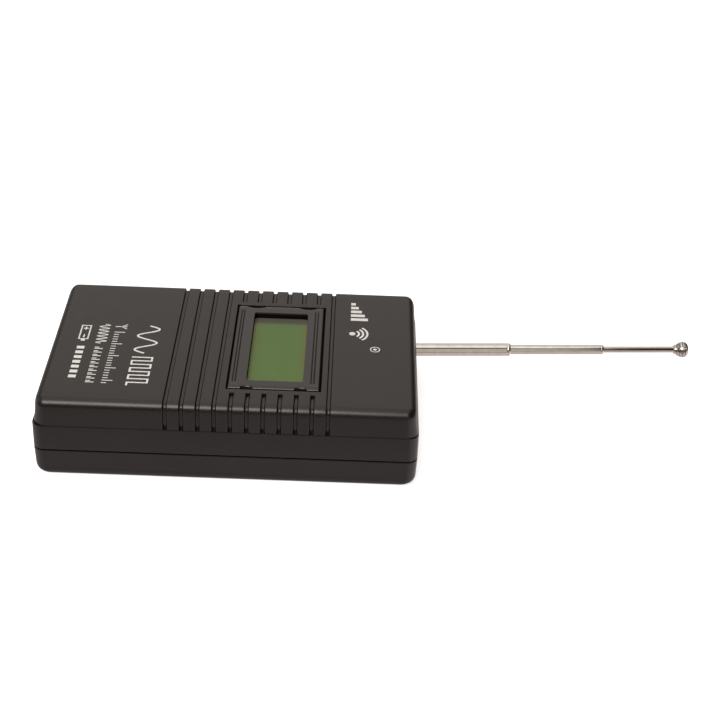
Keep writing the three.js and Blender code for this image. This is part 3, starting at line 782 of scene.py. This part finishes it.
def lower_case():
    lip = 1.15
    top = PARTING - PARTING_GAP / 2
    levels = lower_outline() + [
        (top, CASE_LENGTH - 2 * lip, CASE_WIDTH - 2 * lip, 2.1),
        (PARTING + 1.1, CASE_LENGTH - 2 * lip, CASE_WIDTH - 2 * lip, 2.1),
        (PARTING + 1.3, CASE_LENGTH - 2 * lip - 0.4, CASE_WIDTH - 2 * lip - 0.4, 1.9),
        (PARTING + 1.3, CASE_LENGTH - 2 * WALL, CASE_WIDTH - 2 * WALL, 1.5),
        (WALL + 1, CASE_LENGTH - 2 * WALL, CASE_WIDTH - 2 * WALL, 1.5),
        (WALL, CASE_LENGTH - 2 * WALL - 2, CASE_WIDTH - 2 * WALL - 2, 1.5),
    ]
    tub = loft("lower_case", levels)
    inner = BAY_HALF_WIDTH + DOOR_CLEARANCE
    bay_end = BAY_INNER + DOOR_CLEARANCE
    foot = 1
    wall_top = 8.4
    wide_low_rail = (3.15, 3.2)
    thin_high_wall = (1.4, wall_top)
    added = []
    for side in (-1, 1):
        for reach, height in (wide_low_rail, thin_high_wall):
            edges = sorted((side * inner, side * (inner + reach)))
            added.append(block(-CASE_LENGTH / 2 + 1, BAY_INNER + 1.4, *edges, foot, height))
    added.append(block(bay_end, bay_end + 1.2, -26, 26, foot, wall_top))
    post = [(foot, 0), (foot, 3.0), (6.2, 3.0), (6.2, 0)]
    added += [turned("post", post, matrix=upright(x, y)) for x, y in SCREW_PLACES]
    carve(tub, added, "UNION")
    tongue = BAY_HALF_WIDTH + 1.65
    cutters = [
        door_region(DOOR_CLEARANCE),
        block(-CASE_LENGTH / 2, BAY_INNER, -tongue, tongue, 0.65, 1.95),
    ]
    well = [(-3, 0), (-3, 2.75), (0.0, 2.75), (0.35, 2.4), (SCREW_SEAT, 2.4)]
    well += [(SCREW_SEAT, 1.5), (7.5, 1.5), (7.5, 0)]
    cutters += [turned("well", well, matrix=upright(x, y)) for x, y in SCREW_PLACES]
    carve(tub, cutters)
    return soften_carved(tub, 0.12)


def battery_door():
    door = loft("battery_door_shell", lower_outline())
    inside = block(-CASE_LENGTH / 2 + WALL, 0, -40, 40, DOOR_THICKNESS, 20)
    carve(door, [door_region(0.0)], "INTERSECT")
    carve(door, [inside])
    tongues = []
    for side in (-1, 1):
        edges = sorted((side * (BAY_HALF_WIDTH - 0.5), side * (BAY_HALF_WIDTH + 1.4)))
        tongues.append(block(-51.8, -24, *edges, 0.9, 1.7))
    carve(door, tongues, "UNION")
    grip_profile = [(-9, 0), (-9, 0.55), (9, 0.55), (9, 0)]
    grips = [turned("grip", grip_profile, 24, crosswise(x, 0, -0.1)) for x in range(-46, -35, 2)]
    arrow_outline = [(-31.5, 0), (-28.2, -3.2), (-28.2, 3.2)]
    arrow_points = [(x, y, z) for z in (-1, 0.35) for x, y in arrow_outline]
    arrow_faces = [(0, 1, 2), (3, 4, 5), (0, 1, 4, 3), (1, 2, 5, 4), (2, 0, 3, 5)]
    arrow = piece_from("arrow", arrow_points, arrow_faces)
    carve(door, grips + [outward(arrow)])
    return soften_carved(door, 0.12)


dress(waist(), case_plastic, "case", "case_plastic")
dress(lower_case(), case_plastic, "case", "case_plastic", "bottom_shell")
dress(battery_door(), case_plastic, "door", "case_plastic", "battery_door")


# ---------------------------------------------------------------- display bezel

# (middle, half width) of each line and notch, measured from the bezel's middle.
PRESSED_LINES = [(-11.8, 0.2), (-11.0, 0.2), (10.5, 0.2), (11.35, 0.2)]
PRESSED_HALF_LENGTH = 20.4
PRESSED_DEPTH = 0.28
WINDOW_CORNER = 0.8
NEAR_NOTCHES = [(-7.6, 1.8), (7.7, 1.8)]
FAR_NOTCHES = [(-7.5, 2.8), (8.2, 2.6)]
NOTCH_DEPTH = 0.9
BEZEL_SHEET = 0.45
BEND = 0.5

# (distance out, drop) along the bend, as shares of its radius.
BEND_STEPS = [(0.0, 0.0), (0.38, 0.08), (0.71, 0.29), (0.92, 0.62), (1.0, 1.0)]


def window_edges(middle, length):
    return [middle + sign * length / 2 for sign in (-1, 1)]


WINDOW_EDGES_X = window_edges(WINDOW_X - DISPLAY_X, WINDOW_LENGTH)
WINDOW_EDGES_Y = window_edges(WINDOW_Y - DISPLAY_Y, WINDOW_WIDTH)


def pressed_drop(x, y):
    """Depth of the lines pressed into the sheet; x and y are measured from the bezel's middle."""
    drop = 0.0
    for centre, width in PRESSED_LINES:
        across = rise(abs(x - centre), [(0.0, 1.0), (width * 0.5, 0.8), (width, 0.0)])
        along = rise(abs(y), [(PRESSED_HALF_LENGTH - 0.4, 1.0), (PRESSED_HALF_LENGTH, 0.0)])
        drop = max(drop, PRESSED_DEPTH * across * along)
    return drop


def notch(x, y):
    """How far the long edge nearest to y is bitten back at x."""
    bite = 0.0
    for centre, half in NEAR_NOTCHES if y < 0 else FAR_NOTCHES:
        share = (x - centre) / half
        if abs(share) < 1:
            bite = max(bite, NOTCH_DEPTH * (1 - share**2) ** 0.5)
    return bite


def near_window_edges(edges):
    """Stations at the edges of the window, at its cut corners and just outside it."""
    values = set(edges)
    for edge, sign in zip(edges, (-1, 1)):
        values.update((edge - sign * WINDOW_CORNER, edge + sign * 0.25))
    return values


def bezel_stations_x():
    half = BEZEL_LENGTH / 2
    values = near_window_edges(WINDOW_EDGES_X) | {-half + BEND, half - BEND}
    for centre, width in PRESSED_LINES:
        values.update(centre + width * share for share in (-1, -0.5, 0, 0.5, 1))
    for centre, half_notch in NEAR_NOTCHES + FAR_NOTCHES:
        for angle in range(-90, 91, 15):
            place = centre + half_notch * math.sin(math.radians(angle))
            clear_of_window = min(abs(place - edge) for edge in WINDOW_EDGES_X) > 0.32
            if clear_of_window and min(abs(place - value) for value in values) > 0.05:
                values.add(place)
    return sorted({round(v, 4) for v in values})


def bezel_stations_y():
    behind_notches = BEZEL_WIDTH / 2 - BEND - NOTCH_DEPTH - 0.2
    values = near_window_edges(WINDOW_EDGES_Y)
    for distance in (behind_notches, PRESSED_HALF_LENGTH, PRESSED_HALF_LENGTH - 0.4, 10.0):
        values.update((-distance, distance))
    return sorted({round(v, 4) for v in values})


def bezel():
    """Pressed sheet frame: flat top, bent edges, pressed lines, bitten long edges and an open window."""
    xs = bezel_stations_x()
    ys = bezel_stations_y()
    corner_x = [round(x, 4) for x in WINDOW_EDGES_X]
    corner_y = [round(y, 4) for y in WINDOW_EDGES_Y]
    corner_cut = 0.3 * WINDOW_CORNER
    skirt = BEZEL_TOP - BEND - BEZEL_FOOT

    def bent(row, sheet):
        """(distance out from the start of the bend, drop) of a row, on top or below the sheet's thickness."""
        radius = BEND - sheet
        if row < len(BEND_STEPS):
            out, down = BEND_STEPS[row]
            return out * radius, sheet + down * radius
        return radius, BEND + skirt

    rows = len(BEND_STEPS) + 1
    columns_x = [(xs[0], k) for k in range(rows - 1, 0, -1)] + [(x, 0) for x in xs]
    columns_x += [(xs[-1], k) for k in range(1, rows)]
    edge_y = BEZEL_WIDTH / 2 - BEND
    columns_y = [(-edge_y, k) for k in range(rows - 1, -1, -1)] + [(y, 0) for y in ys]
    columns_y += [(edge_y, k) for k in range(rows)]

    def layer(sheet):
        points = []
        for x_base, x_row in columns_x:
            for y_base, y_row in columns_y:
                out_x, down_x = bent(x_row, sheet)
                out_y, down_y = bent(y_row, sheet)
                x = x_base + math.copysign(out_x, x_base)
                y = y_base + math.copysign(out_y, y_base)
                if abs(y_base) == edge_y:
                    y -= math.copysign(notch(x_base, y_base), y_base)
                drop = max(down_x, down_y) + (0.0 if x_row or y_row else pressed_drop(x, y))
                if round(x, 4) in corner_x and round(y, 4) in corner_y:
                    x -= math.copysign(corner_cut, x - WINDOW_X + DISPLAY_X)
                    y -= math.copysign(corner_cut, y - WINDOW_Y + DISPLAY_Y)
                points.append((DISPLAY_X + x, DISPLAY_Y + y, BEZEL_TOP - drop))
        return points

    width = len(columns_y)
    faces = []
    for i in range(len(columns_x) - 1):
        for j in range(width - 1):
            middle_x = (columns_x[i][0] + columns_x[i + 1][0]) / 2
            middle_y = (columns_y[j][0] + columns_y[j + 1][0]) / 2
            flat = not (columns_x[i][1] or columns_x[i + 1][1] or columns_y[j][1] or columns_y[j + 1][1])
            inside_x = WINDOW_EDGES_X[0] < middle_x < WINDOW_EDGES_X[1]
            inside_y = WINDOW_EDGES_Y[0] < middle_y < WINDOW_EDGES_Y[1]
            if not (flat and inside_x and inside_y):
                first = i * width + j
                faces.append((first, first + 1, first + width + 1, first + width))
    obj = thick_skin("display_bezel", layer(0.0), layer(BEZEL_SHEET), faces)
    bend = obj.modifiers.new("window_edge", "BEVEL")
    bend.width = 0.06 * MM
    bend.segments = 2
    bend.limit_method = "ANGLE"
    bend.angle_limit = math.radians(60)
    apply_modifiers(obj)
    return shade(obj, 50)


dress(bezel(), bezel_lacquer, "case", "bezel_metal", "lcd_bezel")


def bezel_shade_strip():
    """Black strip that fills the gap round the bezel's skirt, just under the case's skin; its black is
    painted shade, standing in for the shade deep in that gap.
    """
    low = 22.3
    high = CASE_TOP - WALL - 0.05
    beyond = 1
    reach = 0.9
    seal = block(HOLE_X[0] - reach, HOLE_X[1] + reach, HOLE_Y[0] - reach, HOLE_Y[1] + reach, low, high)
    half_x = BEZEL_LENGTH / 2
    half_y = BEZEL_WIDTH / 2
    along = [-half_x, *bezel_stations_x()[1:-1], half_x]
    outline = [(x, -half_y + notch(x, -1)) for x in along]
    outline += [(x, half_y - notch(x, 1)) for x in reversed(along)]
    count = len(outline)
    points = [(DISPLAY_X + x, DISPLAY_Y + y, z) for z in (low - beyond, high + beyond) for x, y in outline]
    faces = [tuple(range(count)), tuple(range(count, 2 * count))]
    for i in range(count):
        j = (i + 1) % count
        faces.append((i, j, count + j, count + i))
    carve(seal, [outward(piece_from("opening", points, faces))])
    seal.name = "display_gap_shade"
    return shade(seal)


def window_shade_strip():
    """Black edge strip round the display glass, with cut corners, seen through the window; its black is
    painted shade for the shaded gap between the bezel and the glass.
    """
    reach_out = 0.7
    reach_in = 0.05
    outer_cut = 0.3
    inner_cut = 0.7
    low = GLASS_TOP
    high = BEZEL_TOP - BEZEL_SHEET - 0.02

    def octagon(margin, corner):
        half_x = WINDOW_LENGTH / 2 + margin
        half_y = WINDOW_WIDTH / 2 + margin
        return [
            (half_x - corner, half_y), (-half_x + corner, half_y), (-half_x, half_y - corner),
            (-half_x, -half_y + corner), (-half_x + corner, -half_y), (half_x - corner, -half_y),
            (half_x, -half_y + corner), (half_x, half_y - corner)]

    loops = [
        (octagon(reach_out, outer_cut), low), (octagon(reach_out, outer_cut), high),
        (octagon(-reach_in, inner_cut), high), (octagon(-reach_in, inner_cut), low)]
    points = [(WINDOW_X + x, WINDOW_Y + y, z) for loop, z in loops for x, y in loop]
    faces = []
    for k in range(4):
        for i in range(8):
            j = (i + 1) % 8
            after = (k + 1) % 4
            faces.append((k * 8 + i, k * 8 + j, after * 8 + j, after * 8 + i))
    return soften(shade(outward(piece_from("display_shade_strip", points, faces)), 60), 0.08)


# Both strips are near-black painted shade in the gaps round the display.
dress(window_shade_strip(), gap_shade_black, "case", "chip_plastic")
dress(bezel_shade_strip(), gap_shade_black, "case", "chip_plastic")


# ---------------------------------------------------------------- antenna


def rolled_tube(name, rear, front, outer, bore, foot, mouth):
    """Drawn tube with a flared foot at the rear and its mouth rolled in at the front.

    Rings close to a change of radius keep the shading of the straight stretch even.
    """
    profile = [(rear, bore), (rear, foot - 0.08), (rear + 0.1, foot), (rear + 1.3, foot), (rear + 1.6, outer)]
    profile += [(rear + 1.7, outer), (rear + 1.8, outer), (front - 1.35, outer), (front - 1.25, outer)]
    profile += [(front - 1.15, outer), (front - 1.0, outer - 0.05), (front - 0.86, outer)]
    roll = 0.42
    for step in range(6):
        angle = math.radians(90 * step / 5)
        profile.append((front - roll + roll * math.sin(angle), outer - roll * 0.85 * (1 - math.cos(angle))))
    profile += [(front - 0.04, mouth + 0.03), (front - 0.2, mouth), (front - 0.9, mouth)]
    profile.append((front - 1.2, bore))
    return shade(turned(name, profile, 64, antenna_matrix()), 50)


dress(
    rolled_tube("antenna_tube_1", rear=-7.0, front=29.5, outer=2.0, bore=1.73, foot=2.2, mouth=1.6),
    plating, "antenna_stage_1", "antenna_plating", "antenna_first_section")
dress(
    rolled_tube("antenna_tube_2", rear=25.6, front=58.75, outer=1.52, bore=1.22, foot=1.66, mouth=1.05),
    plating, "antenna_stage_2", "antenna_plating", "antenna_second_section")
dress(
    rolled_tube("antenna_tube_0", rear=-39.0, front=-2.6, outer=2.55, bore=2.28, foot=2.55, mouth=2.1),
    plating, "case", "antenna_plating", "antenna_base_tube")


def antenna_rod():
    """Rod with a thicker foot that stays inside the second tube."""
    rear = 55.2
    front = 83.2
    radius = 0.97
    foot = 1.14
    profile = [(rear, 0), (rear, foot - 0.1), (rear + 0.1, foot), (rear + 1.5, foot)]
    profile += [(place, radius) for place in (57.0, 57.1, 57.2, front - 0.2, front - 0.1, front)]
    profile.append((front, 0))
    return shade(turned("antenna_wire_rod", profile, 48, antenna_matrix()), 50)


def antenna_tip():
    """Ball with turned rings on a short collar."""
    front = 85.65
    length = 4.1
    rear = front - length
    socket_end = 83.3
    bore = 1.01
    profile = [(socket_end, 0.0), (socket_end, bore), (rear - 0.5, bore)]
    profile += [(rear - 0.5, 1.30), (rear - 0.38, 1.42), (rear - 0.1, 1.42), (rear, 1.5)]
    envelope = [(0.0, 1.50), (0.06, 1.72), (0.22, 2.12), (0.4, 2.38), (0.58, 2.5), (0.74, 2.38)]
    envelope += [(0.87, 1.98), (0.96, 1.3), (1.0, 0.0)]
    ring_middles = (0.16, 0.37, 0.58, 0.79)
    half_ring = 0.105
    groove_depth_between = 0.42
    last_groove = 0.88
    steps = 80
    for step in range(1, steps):
        share = step / steps
        away = min(abs(share - middle) for middle in ring_middles) / half_ring
        groove = groove_depth_between * rise(away, [(0.62, 0.0), (0.8, 0.35), (1.0, 1.0)])
        if share >= last_groove:
            groove = 0.0
        profile.append((rear + share * length, rise(share, envelope) - groove))
    profile.append((front, 0.0))
    return shade(turned("antenna_ball_tip", profile, 64, antenna_matrix()), 60)


dress(antenna_rod(), rod_plating, "antenna_stage_3", "antenna_plating", "antenna_rod")
dress(antenna_tip(), rod_plating, "antenna_stage_3", "antenna_plating", "antenna_tip")


# ---------------------------------------------------------------- side controls and case screws


def switch_knob():
    """Small block with four grooves cut across its face, as far from the case as the CAD's."""
    x = SWITCH_X - SWITCH_TRAVEL
    low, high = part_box("power_switch_knob")
    back = low.y / MM
    front = high.y / MM
    knob = block(x - 1.5, x + 1.5, back, front, SWITCH_Z - 1.1, SWITCH_Z + 1.1)
    profile = [(-3, 0), (-3, 0.17), (3, 0.17), (3, 0)]
    grooves = []
    for offset in (-1.0, -0.33, 0.33, 1.0):
        grooves.append(turned("groove", profile, 16, upright(x + offset, front + 0.02, SWITCH_Z)))
    carve(knob, grooves)
    knob.name = "power_slider"
    return soften(shade(knob), 0.1, limit_degrees=50)


def button_cap():
    """Round cap with a rounded front and a flange that stays inside the case."""
    side = CASE_WIDTH / 2
    low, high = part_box("function_button")
    back = low.y / MM - side
    front = high.y / MM - side
    flange = (-WALL - 1.6, -WALL - 0.3)
    profile = [(back, 0), (back, 2.0), (flange[0], 2.0), (flange[0], 2.9), (flange[0] + 0.1, 3.0)]
    profile += [(flange[1] - 0.1, 3.0), (flange[1], 2.9), (flange[1], 2.0), (front - 0.5, 2.0)]
    for angle in (20, 40, 60, 80):
        turn = math.radians(angle)
        profile.append((front - 0.5 + 0.35 * math.sin(turn), 1.6 + 0.4 * math.cos(turn)))
    profile += [(front - 0.1, 1.2), (front - 0.05, 0.8), (front, 0)]
    return shade(turned("function_cap", profile, 48, crosswise(BUTTON_X, side, BUTTON_Z)), 45)


dress(switch_knob(), control_plastic, "switch", "control_plastic", "power_switch_knob")
dress(button_cap(), control_plastic, "button", "control_plastic", "function_button")


def case_screw(index, x, y):
    """Pan-head screw with a cross recess."""
    head = 1.8
    face = SCREW_SEAT - head
    profile = [(face, 0), (face, 1.35), (face + 0.12, 1.75), (face + 0.42, 2.08), (face + 0.8, 2.2)]
    profile += [(SCREW_SEAT, 2.2), (SCREW_SEAT, 1.3), (SCREW_SEAT + 9.3, 1.3)]
    profile += [(SCREW_SEAT + 10, 0.7), (SCREW_SEAT + 10, 0)]
    screw = turned(f"cross_head_{index}", profile, 40, upright(x, y))
    arm_sizes = ((1.25, 0.28), (0.28, 1.25))
    carve(screw, [block(x - a, x + a, y - b, y + b, face - 1, face + 1) for a, b in arm_sizes])
    return shade(screw, 40)


for number, (place_x, place_y) in enumerate(SCREW_PLACES, start=1):
    screw_piece = case_screw(number, place_x, place_y)
    dress(screw_piece, materials["dark_steel"], "case", "dark_steel", f"case_screw_{number}")


# ---------------------------------------------------------------- printed pictograms on the case

INK_HEIGHT = CASE_TOP + 0.015


class Print:
    """Flat strokes laid on the case, read from +Y to -Y with their tops towards +X."""

    def __init__(self):
        self.points = []
        self.faces = []

    def ribbon(self, path, width):
        """Stroke of constant width along a path of (x, y)."""
        start = len(self.points)
        for i, (x, y) in enumerate(path):
            before = Vector(path[max(i - 1, 0)])
            after = Vector(path[min(i + 1, len(path) - 1)])
            along = (after - before).normalized()
            across = Vector((-along.y, along.x)) * (width / 2)
            self.points.append((x + across.x, y + across.y, INK_HEIGHT))
            self.points.append((x - across.x, y - across.y, INK_HEIGHT))
        for i in range(len(path) - 1):
            first = start + 2 * i
            self.faces.append((first, first + 1, first + 3, first + 2))

    def bar(self, x_min, x_max, y_min, y_max):
        start = len(self.points)
        corners = ((x_min, y_min), (x_max, y_min), (x_max, y_max), (x_min, y_max))
        self.points += [(x, y, INK_HEIGHT) for x, y in corners]
        self.faces.append((start, start + 1, start + 2, start + 3))

    def arc(self, x, y, radius, start_degrees, end_degrees, width, steps=28):
        turn = end_degrees - start_degrees
        angles = [math.radians(start_degrees + turn * k / steps) for k in range(steps + 1)]
        self.ribbon([(x + radius * math.cos(a), y + radius * math.sin(a)) for a in angles], width)

    def frame(self, x_min, x_max, y_min, y_max, width):
        self.bar(x_min, x_max, y_min, y_min + width)
        self.bar(x_min, x_max, y_max - width, y_max)
        self.bar(x_min, x_min + width, y_min + width, y_max - width)
        self.bar(x_max - width, x_max, y_min + width, y_max - width)

    def plus(self, x, y, reach, width):
        half = width / 2
        self.bar(x - half, x + half, y - reach, y + reach)
        self.bar(x - reach, x - half, y - half, y + half)
        self.bar(x + half, x + reach, y - half, y + half)

    def sine(self, x, y_start, y_end, height, periods, width, steps=96):
        path = []
        for k in range(steps + 1):
            share = k / steps
            swing = height / 2 * math.sin(2 * math.pi * periods * share)
            path.append((x + swing, y_start + (y_end - y_start) * share))
        self.ribbon(path, width)

    def pulses(self, x_low, x_high, y_start, y_end, count, width):
        """Square wave that runs from y_start down to y_end, with count pulses."""
        step = (y_start - y_end) / (2 * count)
        for index in range(count):
            rise_y = y_start - 2 * step * index
            fall_y = rise_y - step
            next_y = fall_y - step
            self.bar(x_low, x_high, rise_y, rise_y + width)
            self.bar(x_high - width, x_high, fall_y + width, rise_y)
            self.bar(x_low, x_high, fall_y, fall_y + width)
            self.bar(x_low, x_low + width, next_y + width, fall_y)

    def piece(self, name):
        obj = piece_from(name, self.points, self.faces)
        for polygon in obj.data.polygons:
            polygon.use_smooth = False
        if obj.data.polygons[0].normal.z < 0:
            edit(obj, lambda work: bmesh.ops.reverse_faces(work, faces=work.faces))
        return obj


def left_print():
    """Wave forms in the large row, then three small rows of rulings with an antenna and a battery sign."""
    art = Print()
    row_start = 8.4
    thick = 0.62
    medium = 0.4
    thin = 0.36

    art.sine(-25.6, row_start, -7.0, height=6.0, periods=2, width=thick)
    art.pulses(-28.8, -22.6, -9.6, -25.0, count=4, width=0.55)

    mast_y = 7.4
    art.ribbon([(-35.8, mast_y), (-34.16, mast_y)], medium)
    art.ribbon([(-33.4, mast_y), (-32.3, mast_y)], medium)
    art.ribbon([(-32.3, mast_y + 1.3), (-34.0, mast_y), (-32.3, mast_y - 1.3)], thin)
    for index in range(22):
        y = 4.2 - 1.32 * index
        ruling_top = -32.6 if index % 5 == 0 else -34.2
        art.bar(-35.7, ruling_top, y - thin / 2, y + thin / 2)

    art.sine(-38.9, row_start, -2.4, height=3.0, periods=6, width=thin)
    for index in range(10):
        y = -5.0 - 2.0 * index
        art.bar(-40.2, -37.8, y - 0.55, y - 0.15)
        art.bar(-40.2, -38.9, y + 0.15, y + 0.55)

    battery_x = -44.3
    art.frame(battery_x - 1.5, battery_x + 1.5, -0.4, 7.6, medium)
    art.bar(battery_x - 0.6, battery_x + 0.6, -1.3, -0.4)
    art.plus(battery_x, 5.8, 0.8, medium)
    art.bar(battery_x - medium / 2, battery_x + medium / 2, 0.6, 2.2)
    for index in range(7):
        y = -5.0 - 2.6 * index
        art.bar(battery_x - 1.1, battery_x + 1.1, y - 0.75, y + 0.75)
    return art.piece("left_pictograms")


def right_print():
    """Signal bars, a dot with three radio arcs, and a ring with a dot."""
    art = Print()
    for index in range(5):
        y = 25.8 - 2.3 * index
        art.bar(34.0, 35.4 + 0.95 * index, y - 0.75, y + 0.75)
    centre_x = 34.6
    centre_y = 8.2
    art.arc(centre_x, centre_y, 0.5, 0, 360, 0.9)
    for index in range(3):
        art.arc(centre_x, centre_y, 2.0 + 1.25 * index, -50, 50, 0.62)
    ring_x = 41.4
    ring_y = -0.4
    for radius, width in ((1.35, 0.32), (0.3, 0.5)):
        art.arc(ring_x, ring_y, radius, 0, 360, width)
    return art.piece("right_pictograms")


dress(left_print(), ink, "case", "case_plastic")
dress(right_print(), ink, "case", "case_plastic")

# ---------------------------------------------------------------- CAD nodes that stay

slots = {part["node"]: part["material_slot"] for part in frame["record"]["subparts"]}
for name, obj in frame["nodes"].items():
    if obj.hide_render:
        continue
    obj.data.materials.clear()
    obj.data.materials.append(materials[slots[name]])
    level_normals(obj)

# ---------------------------------------------------------------- floor, light and camera


# Half the side of the white studio box.
STUDIO_SIZE = 3500.0


def glowing_paper(name, strength):
    paper = surface(
        name, (0.90, 0.90, 0.90), (0.93, 0.93, 0.93), (0.85, 0.95), grain=200.0, bump=0.0, blotch=3.0,
        specular=0.1)
    glow = paper.node_tree.nodes["Principled BSDF"]
    glow.inputs["Emission Color"].default_value = (1.0, 1.0, 1.0, 1.0)
    glow.inputs["Emission Strength"].default_value = strength
    return paper


def studio_floor():
    size = STUDIO_SIZE + 100.0
    level = -0.05
    corners = [(x * size, y * size, level) for x, y in ((-1, -1), (1, -1), (1, 1), (-1, 1))]
    floor = piece_from("floor", corners, [(0, 1, 2, 3)])
    floor.data.materials.append(glowing_paper("pale_floor", 0.7))
    floor.visible_glossy = False


def studio_backdrop():
    """White walls that only the camera sees, so the light still comes from the tent around them."""
    size = STUDIO_SIZE
    walls = block(-size, size, -size, size, -size, size)
    walls.name = "backdrop"
    walls.data.materials.append(glowing_paper("pale_backdrop", 1.2))
    for ray in ("diffuse", "glossy", "transmission", "volume_scatter", "shadow"):
        setattr(walls, f"visible_{ray}", False)


def colour_ramp(tree, factor, stops):
    """Colour that follows a factor through (position, colour) stops in rising order."""
    made = node(tree, "ShaderNodeValToRGB")
    tree.links.new(factor, made.inputs["Fac"])
    elements = made.color_ramp.elements
    while len(elements) > 1:
        elements.remove(elements[-1])
    elements[0].position = stops[0][0]
    elements[0].color = (*stops[0][1], 1.0)
    for position, colour in stops[1:]:
        elements.new(position).color = (*colour, 1.0)
    return made.outputs["Color"]


# Colours of the tent's parts.
ROOM = (0.50, 0.455, 0.41)
BRIGHT_ROOM = (0.61, 0.565, 0.515)
DIM = (0.14, 0.125, 0.115)
TABLE = (0.645, 0.573, 0.56)
NEAR_TABLE = (0.725, 0.638, 0.63)
FAR_WALL = (0.80, 0.735, 0.685)
ROOF = (1.25, 1.20, 1.14)
GAP = (0.05, 0.045, 0.04)
BRIGHTEST = max(ROOF)

# Tent seen by the case and by the antenna: (degrees up from level on the far side, colour).
BELOW = [(-154, DIM), (-142, NEAR_TABLE), (-128, TABLE), (-10, TABLE), (0, FAR_WALL)]
BEHIND_CASE = [
    (-180, DIM), *BELOW, (50, FAR_WALL), (66, ROOF), (130, ROOF), (134, ROOM), (158, ROOM), (170, DIM)]
BEHIND_ANTENNA = [
    (-180, BRIGHT_ROOM), (-161, BRIGHT_ROOM), *BELOW, (70, FAR_WALL), (82, ROOF), (130, ROOF),
    (134, BRIGHT_ROOM)]

# Brightness across the tent, above and below the horizon: (x of the direction, level).
SIDES_ABOVE = [
    (-1.0, 0.8), (-0.64, 0.4), (-0.5, 0.25), (-0.42, 0.4), (-0.3, 0.95), (-0.2, 1.0), (0.22, 0.92),
    (0.34, 0.4), (0.44, 0.08), (1.0, 0.08)]
SIDES_BELOW = [(-1.0, 1.2), (-0.6, 1.0), (0.22, 1.0), (0.4, 1.4), (1.0, 1.6)]


def studio_world():
    """Photo tent round the case, with a dark gap between its roof and the room.

    Its colour changes with the angle about the case's long axis. Directions nearer to the antenna's own see
    another tent, and a gap that is wider and further round.
    """
    world = bpy.data.worlds.new("tent")
    world.use_nodes = True
    tree = world.node_tree
    way = node(tree, "ShaderNodeTexCoord").outputs["Generated"]
    parts = node(tree, "ShaderNodeSeparateXYZ")
    tree.links.new(way, parts.inputs["Vector"])
    angle = calculate(tree, "ARCTAN2", parts.outputs["Z"], parts.outputs["Y"])
    antenna_share = node(tree, "ShaderNodeVectorMath", operation="DOT_PRODUCT")
    antenna_share.inputs[1].default_value = (math.cos(ANTENNA_LEAN), math.sin(ANTENNA_LEAN), 0.0)
    tree.links.new(way, antenna_share.inputs[0])
    along = antenna_share.outputs["Value"]

    around = map_value(tree, angle, 0.0, 1.0, -math.pi, math.pi)
    views = []
    for stops in (BEHIND_CASE, BEHIND_ANTENNA):
        shares = [((turn + 180) / 360, tuple(c / BRIGHTEST for c in colour)) for turn, colour in stops]
        views.append(colour_ramp(tree, around, shares))
    surroundings = mix_colour(tree, map_value(tree, along, 0.0, 1.0, 0.07, 0.09), *views)

    gap_middle = map_value(tree, along, math.radians(124), math.radians(138), 0.205, 0.225)
    off_gap = calculate(tree, "ABSOLUTE", calculate(tree, "SUBTRACT", angle, gap_middle))
    narrowing = map_value(tree, along, math.radians(10), math.radians(6), 0.155, 0.17)
    widening = map_value(tree, along, 0.0, math.radians(43), 0.205, 0.225)
    half_gap = calculate(tree, "ADD", narrowing, widening)
    outside_gap = map_value(tree, calculate(tree, "DIVIDE", off_gap, half_gap), 0.0, 1.0, 0.85, 1.1)
    background = tree.nodes["Background"]
    tree.links.new(mix_colour(tree, outside_gap, GAP, surroundings), background.inputs["Color"])

    across = map_value(tree, parts.outputs["X"], 0.0, 1.0, -1.0, 1.0)
    levels = []
    for sides in (SIDES_BELOW, SIDES_ABOVE):
        shares = [((place + 1) / 2, (level, level, level)) for place, level in sides]
        levels.append(colour_ramp(tree, across, shares))
    height = map_value(tree, parts.outputs["Z"], 0.0, 1.0, -0.25, -0.05)
    strength = calculate(tree, "MULTIPLY", mix_colour(tree, height, *levels), BRIGHTEST)
    tree.links.new(strength, background.inputs["Strength"])
    bpy.context.scene.world = world


def key_light():
    """Warm soft rectangle above and in front of the case."""
    place = Vector((-170, -540, 580)) * MM
    target = Vector((-170, 0, 0)) * MM
    light = bpy.data.lights.new("key", "AREA")
    light.shape = "RECTANGLE"
    light.size = 460 * MM
    light.size_y = 500 * MM
    light.energy = 4.2
    light.color = (1.0, 0.95, 0.91)
    obj = bpy.data.objects.new("key", light)
    bpy.context.scene.collection.objects.link(obj)
    obj.location = place
    obj.rotation_mode = "QUATERNION"
    obj.rotation_quaternion = (target - place).to_track_quat("-Z", "Y")


def photo_camera():
    """Camera that looks at the near long side from above, at the photograph's distance and angle."""
    yaw = math.radians(0.574)
    elevation = math.radians(31.869)
    roll = math.radians(2.39)
    place = Vector((33.04, -408.47, 275.22)) * MM
    forward = Vector((
        math.sin(yaw) * math.cos(elevation), math.cos(yaw) * math.cos(elevation), -math.sin(elevation)))
    level = Vector((math.cos(yaw), -math.sin(yaw), 0.0))
    up = level.cross(forward)
    right = math.cos(roll) * level + math.sin(roll) * up
    top = math.cos(roll) * up - math.sin(roll) * level
    camera = bpy.data.objects.new("camera", bpy.data.cameras.new("camera"))
    camera.data.lens = 81.45
    camera.data.sensor_width = 36.0
    camera.data.clip_start = 0.01
    axes = Matrix((right, top, -forward)).transposed().to_4x4()
    camera.matrix_world = Matrix.Translation(place) @ axes
    bpy.context.scene.collection.objects.link(camera)
    bpy.context.scene.camera = camera


studio_floor()
studio_backdrop()
studio_world()
key_light()
photo_camera()
bpy.context.scene.view_settings.view_transform = "Standard"
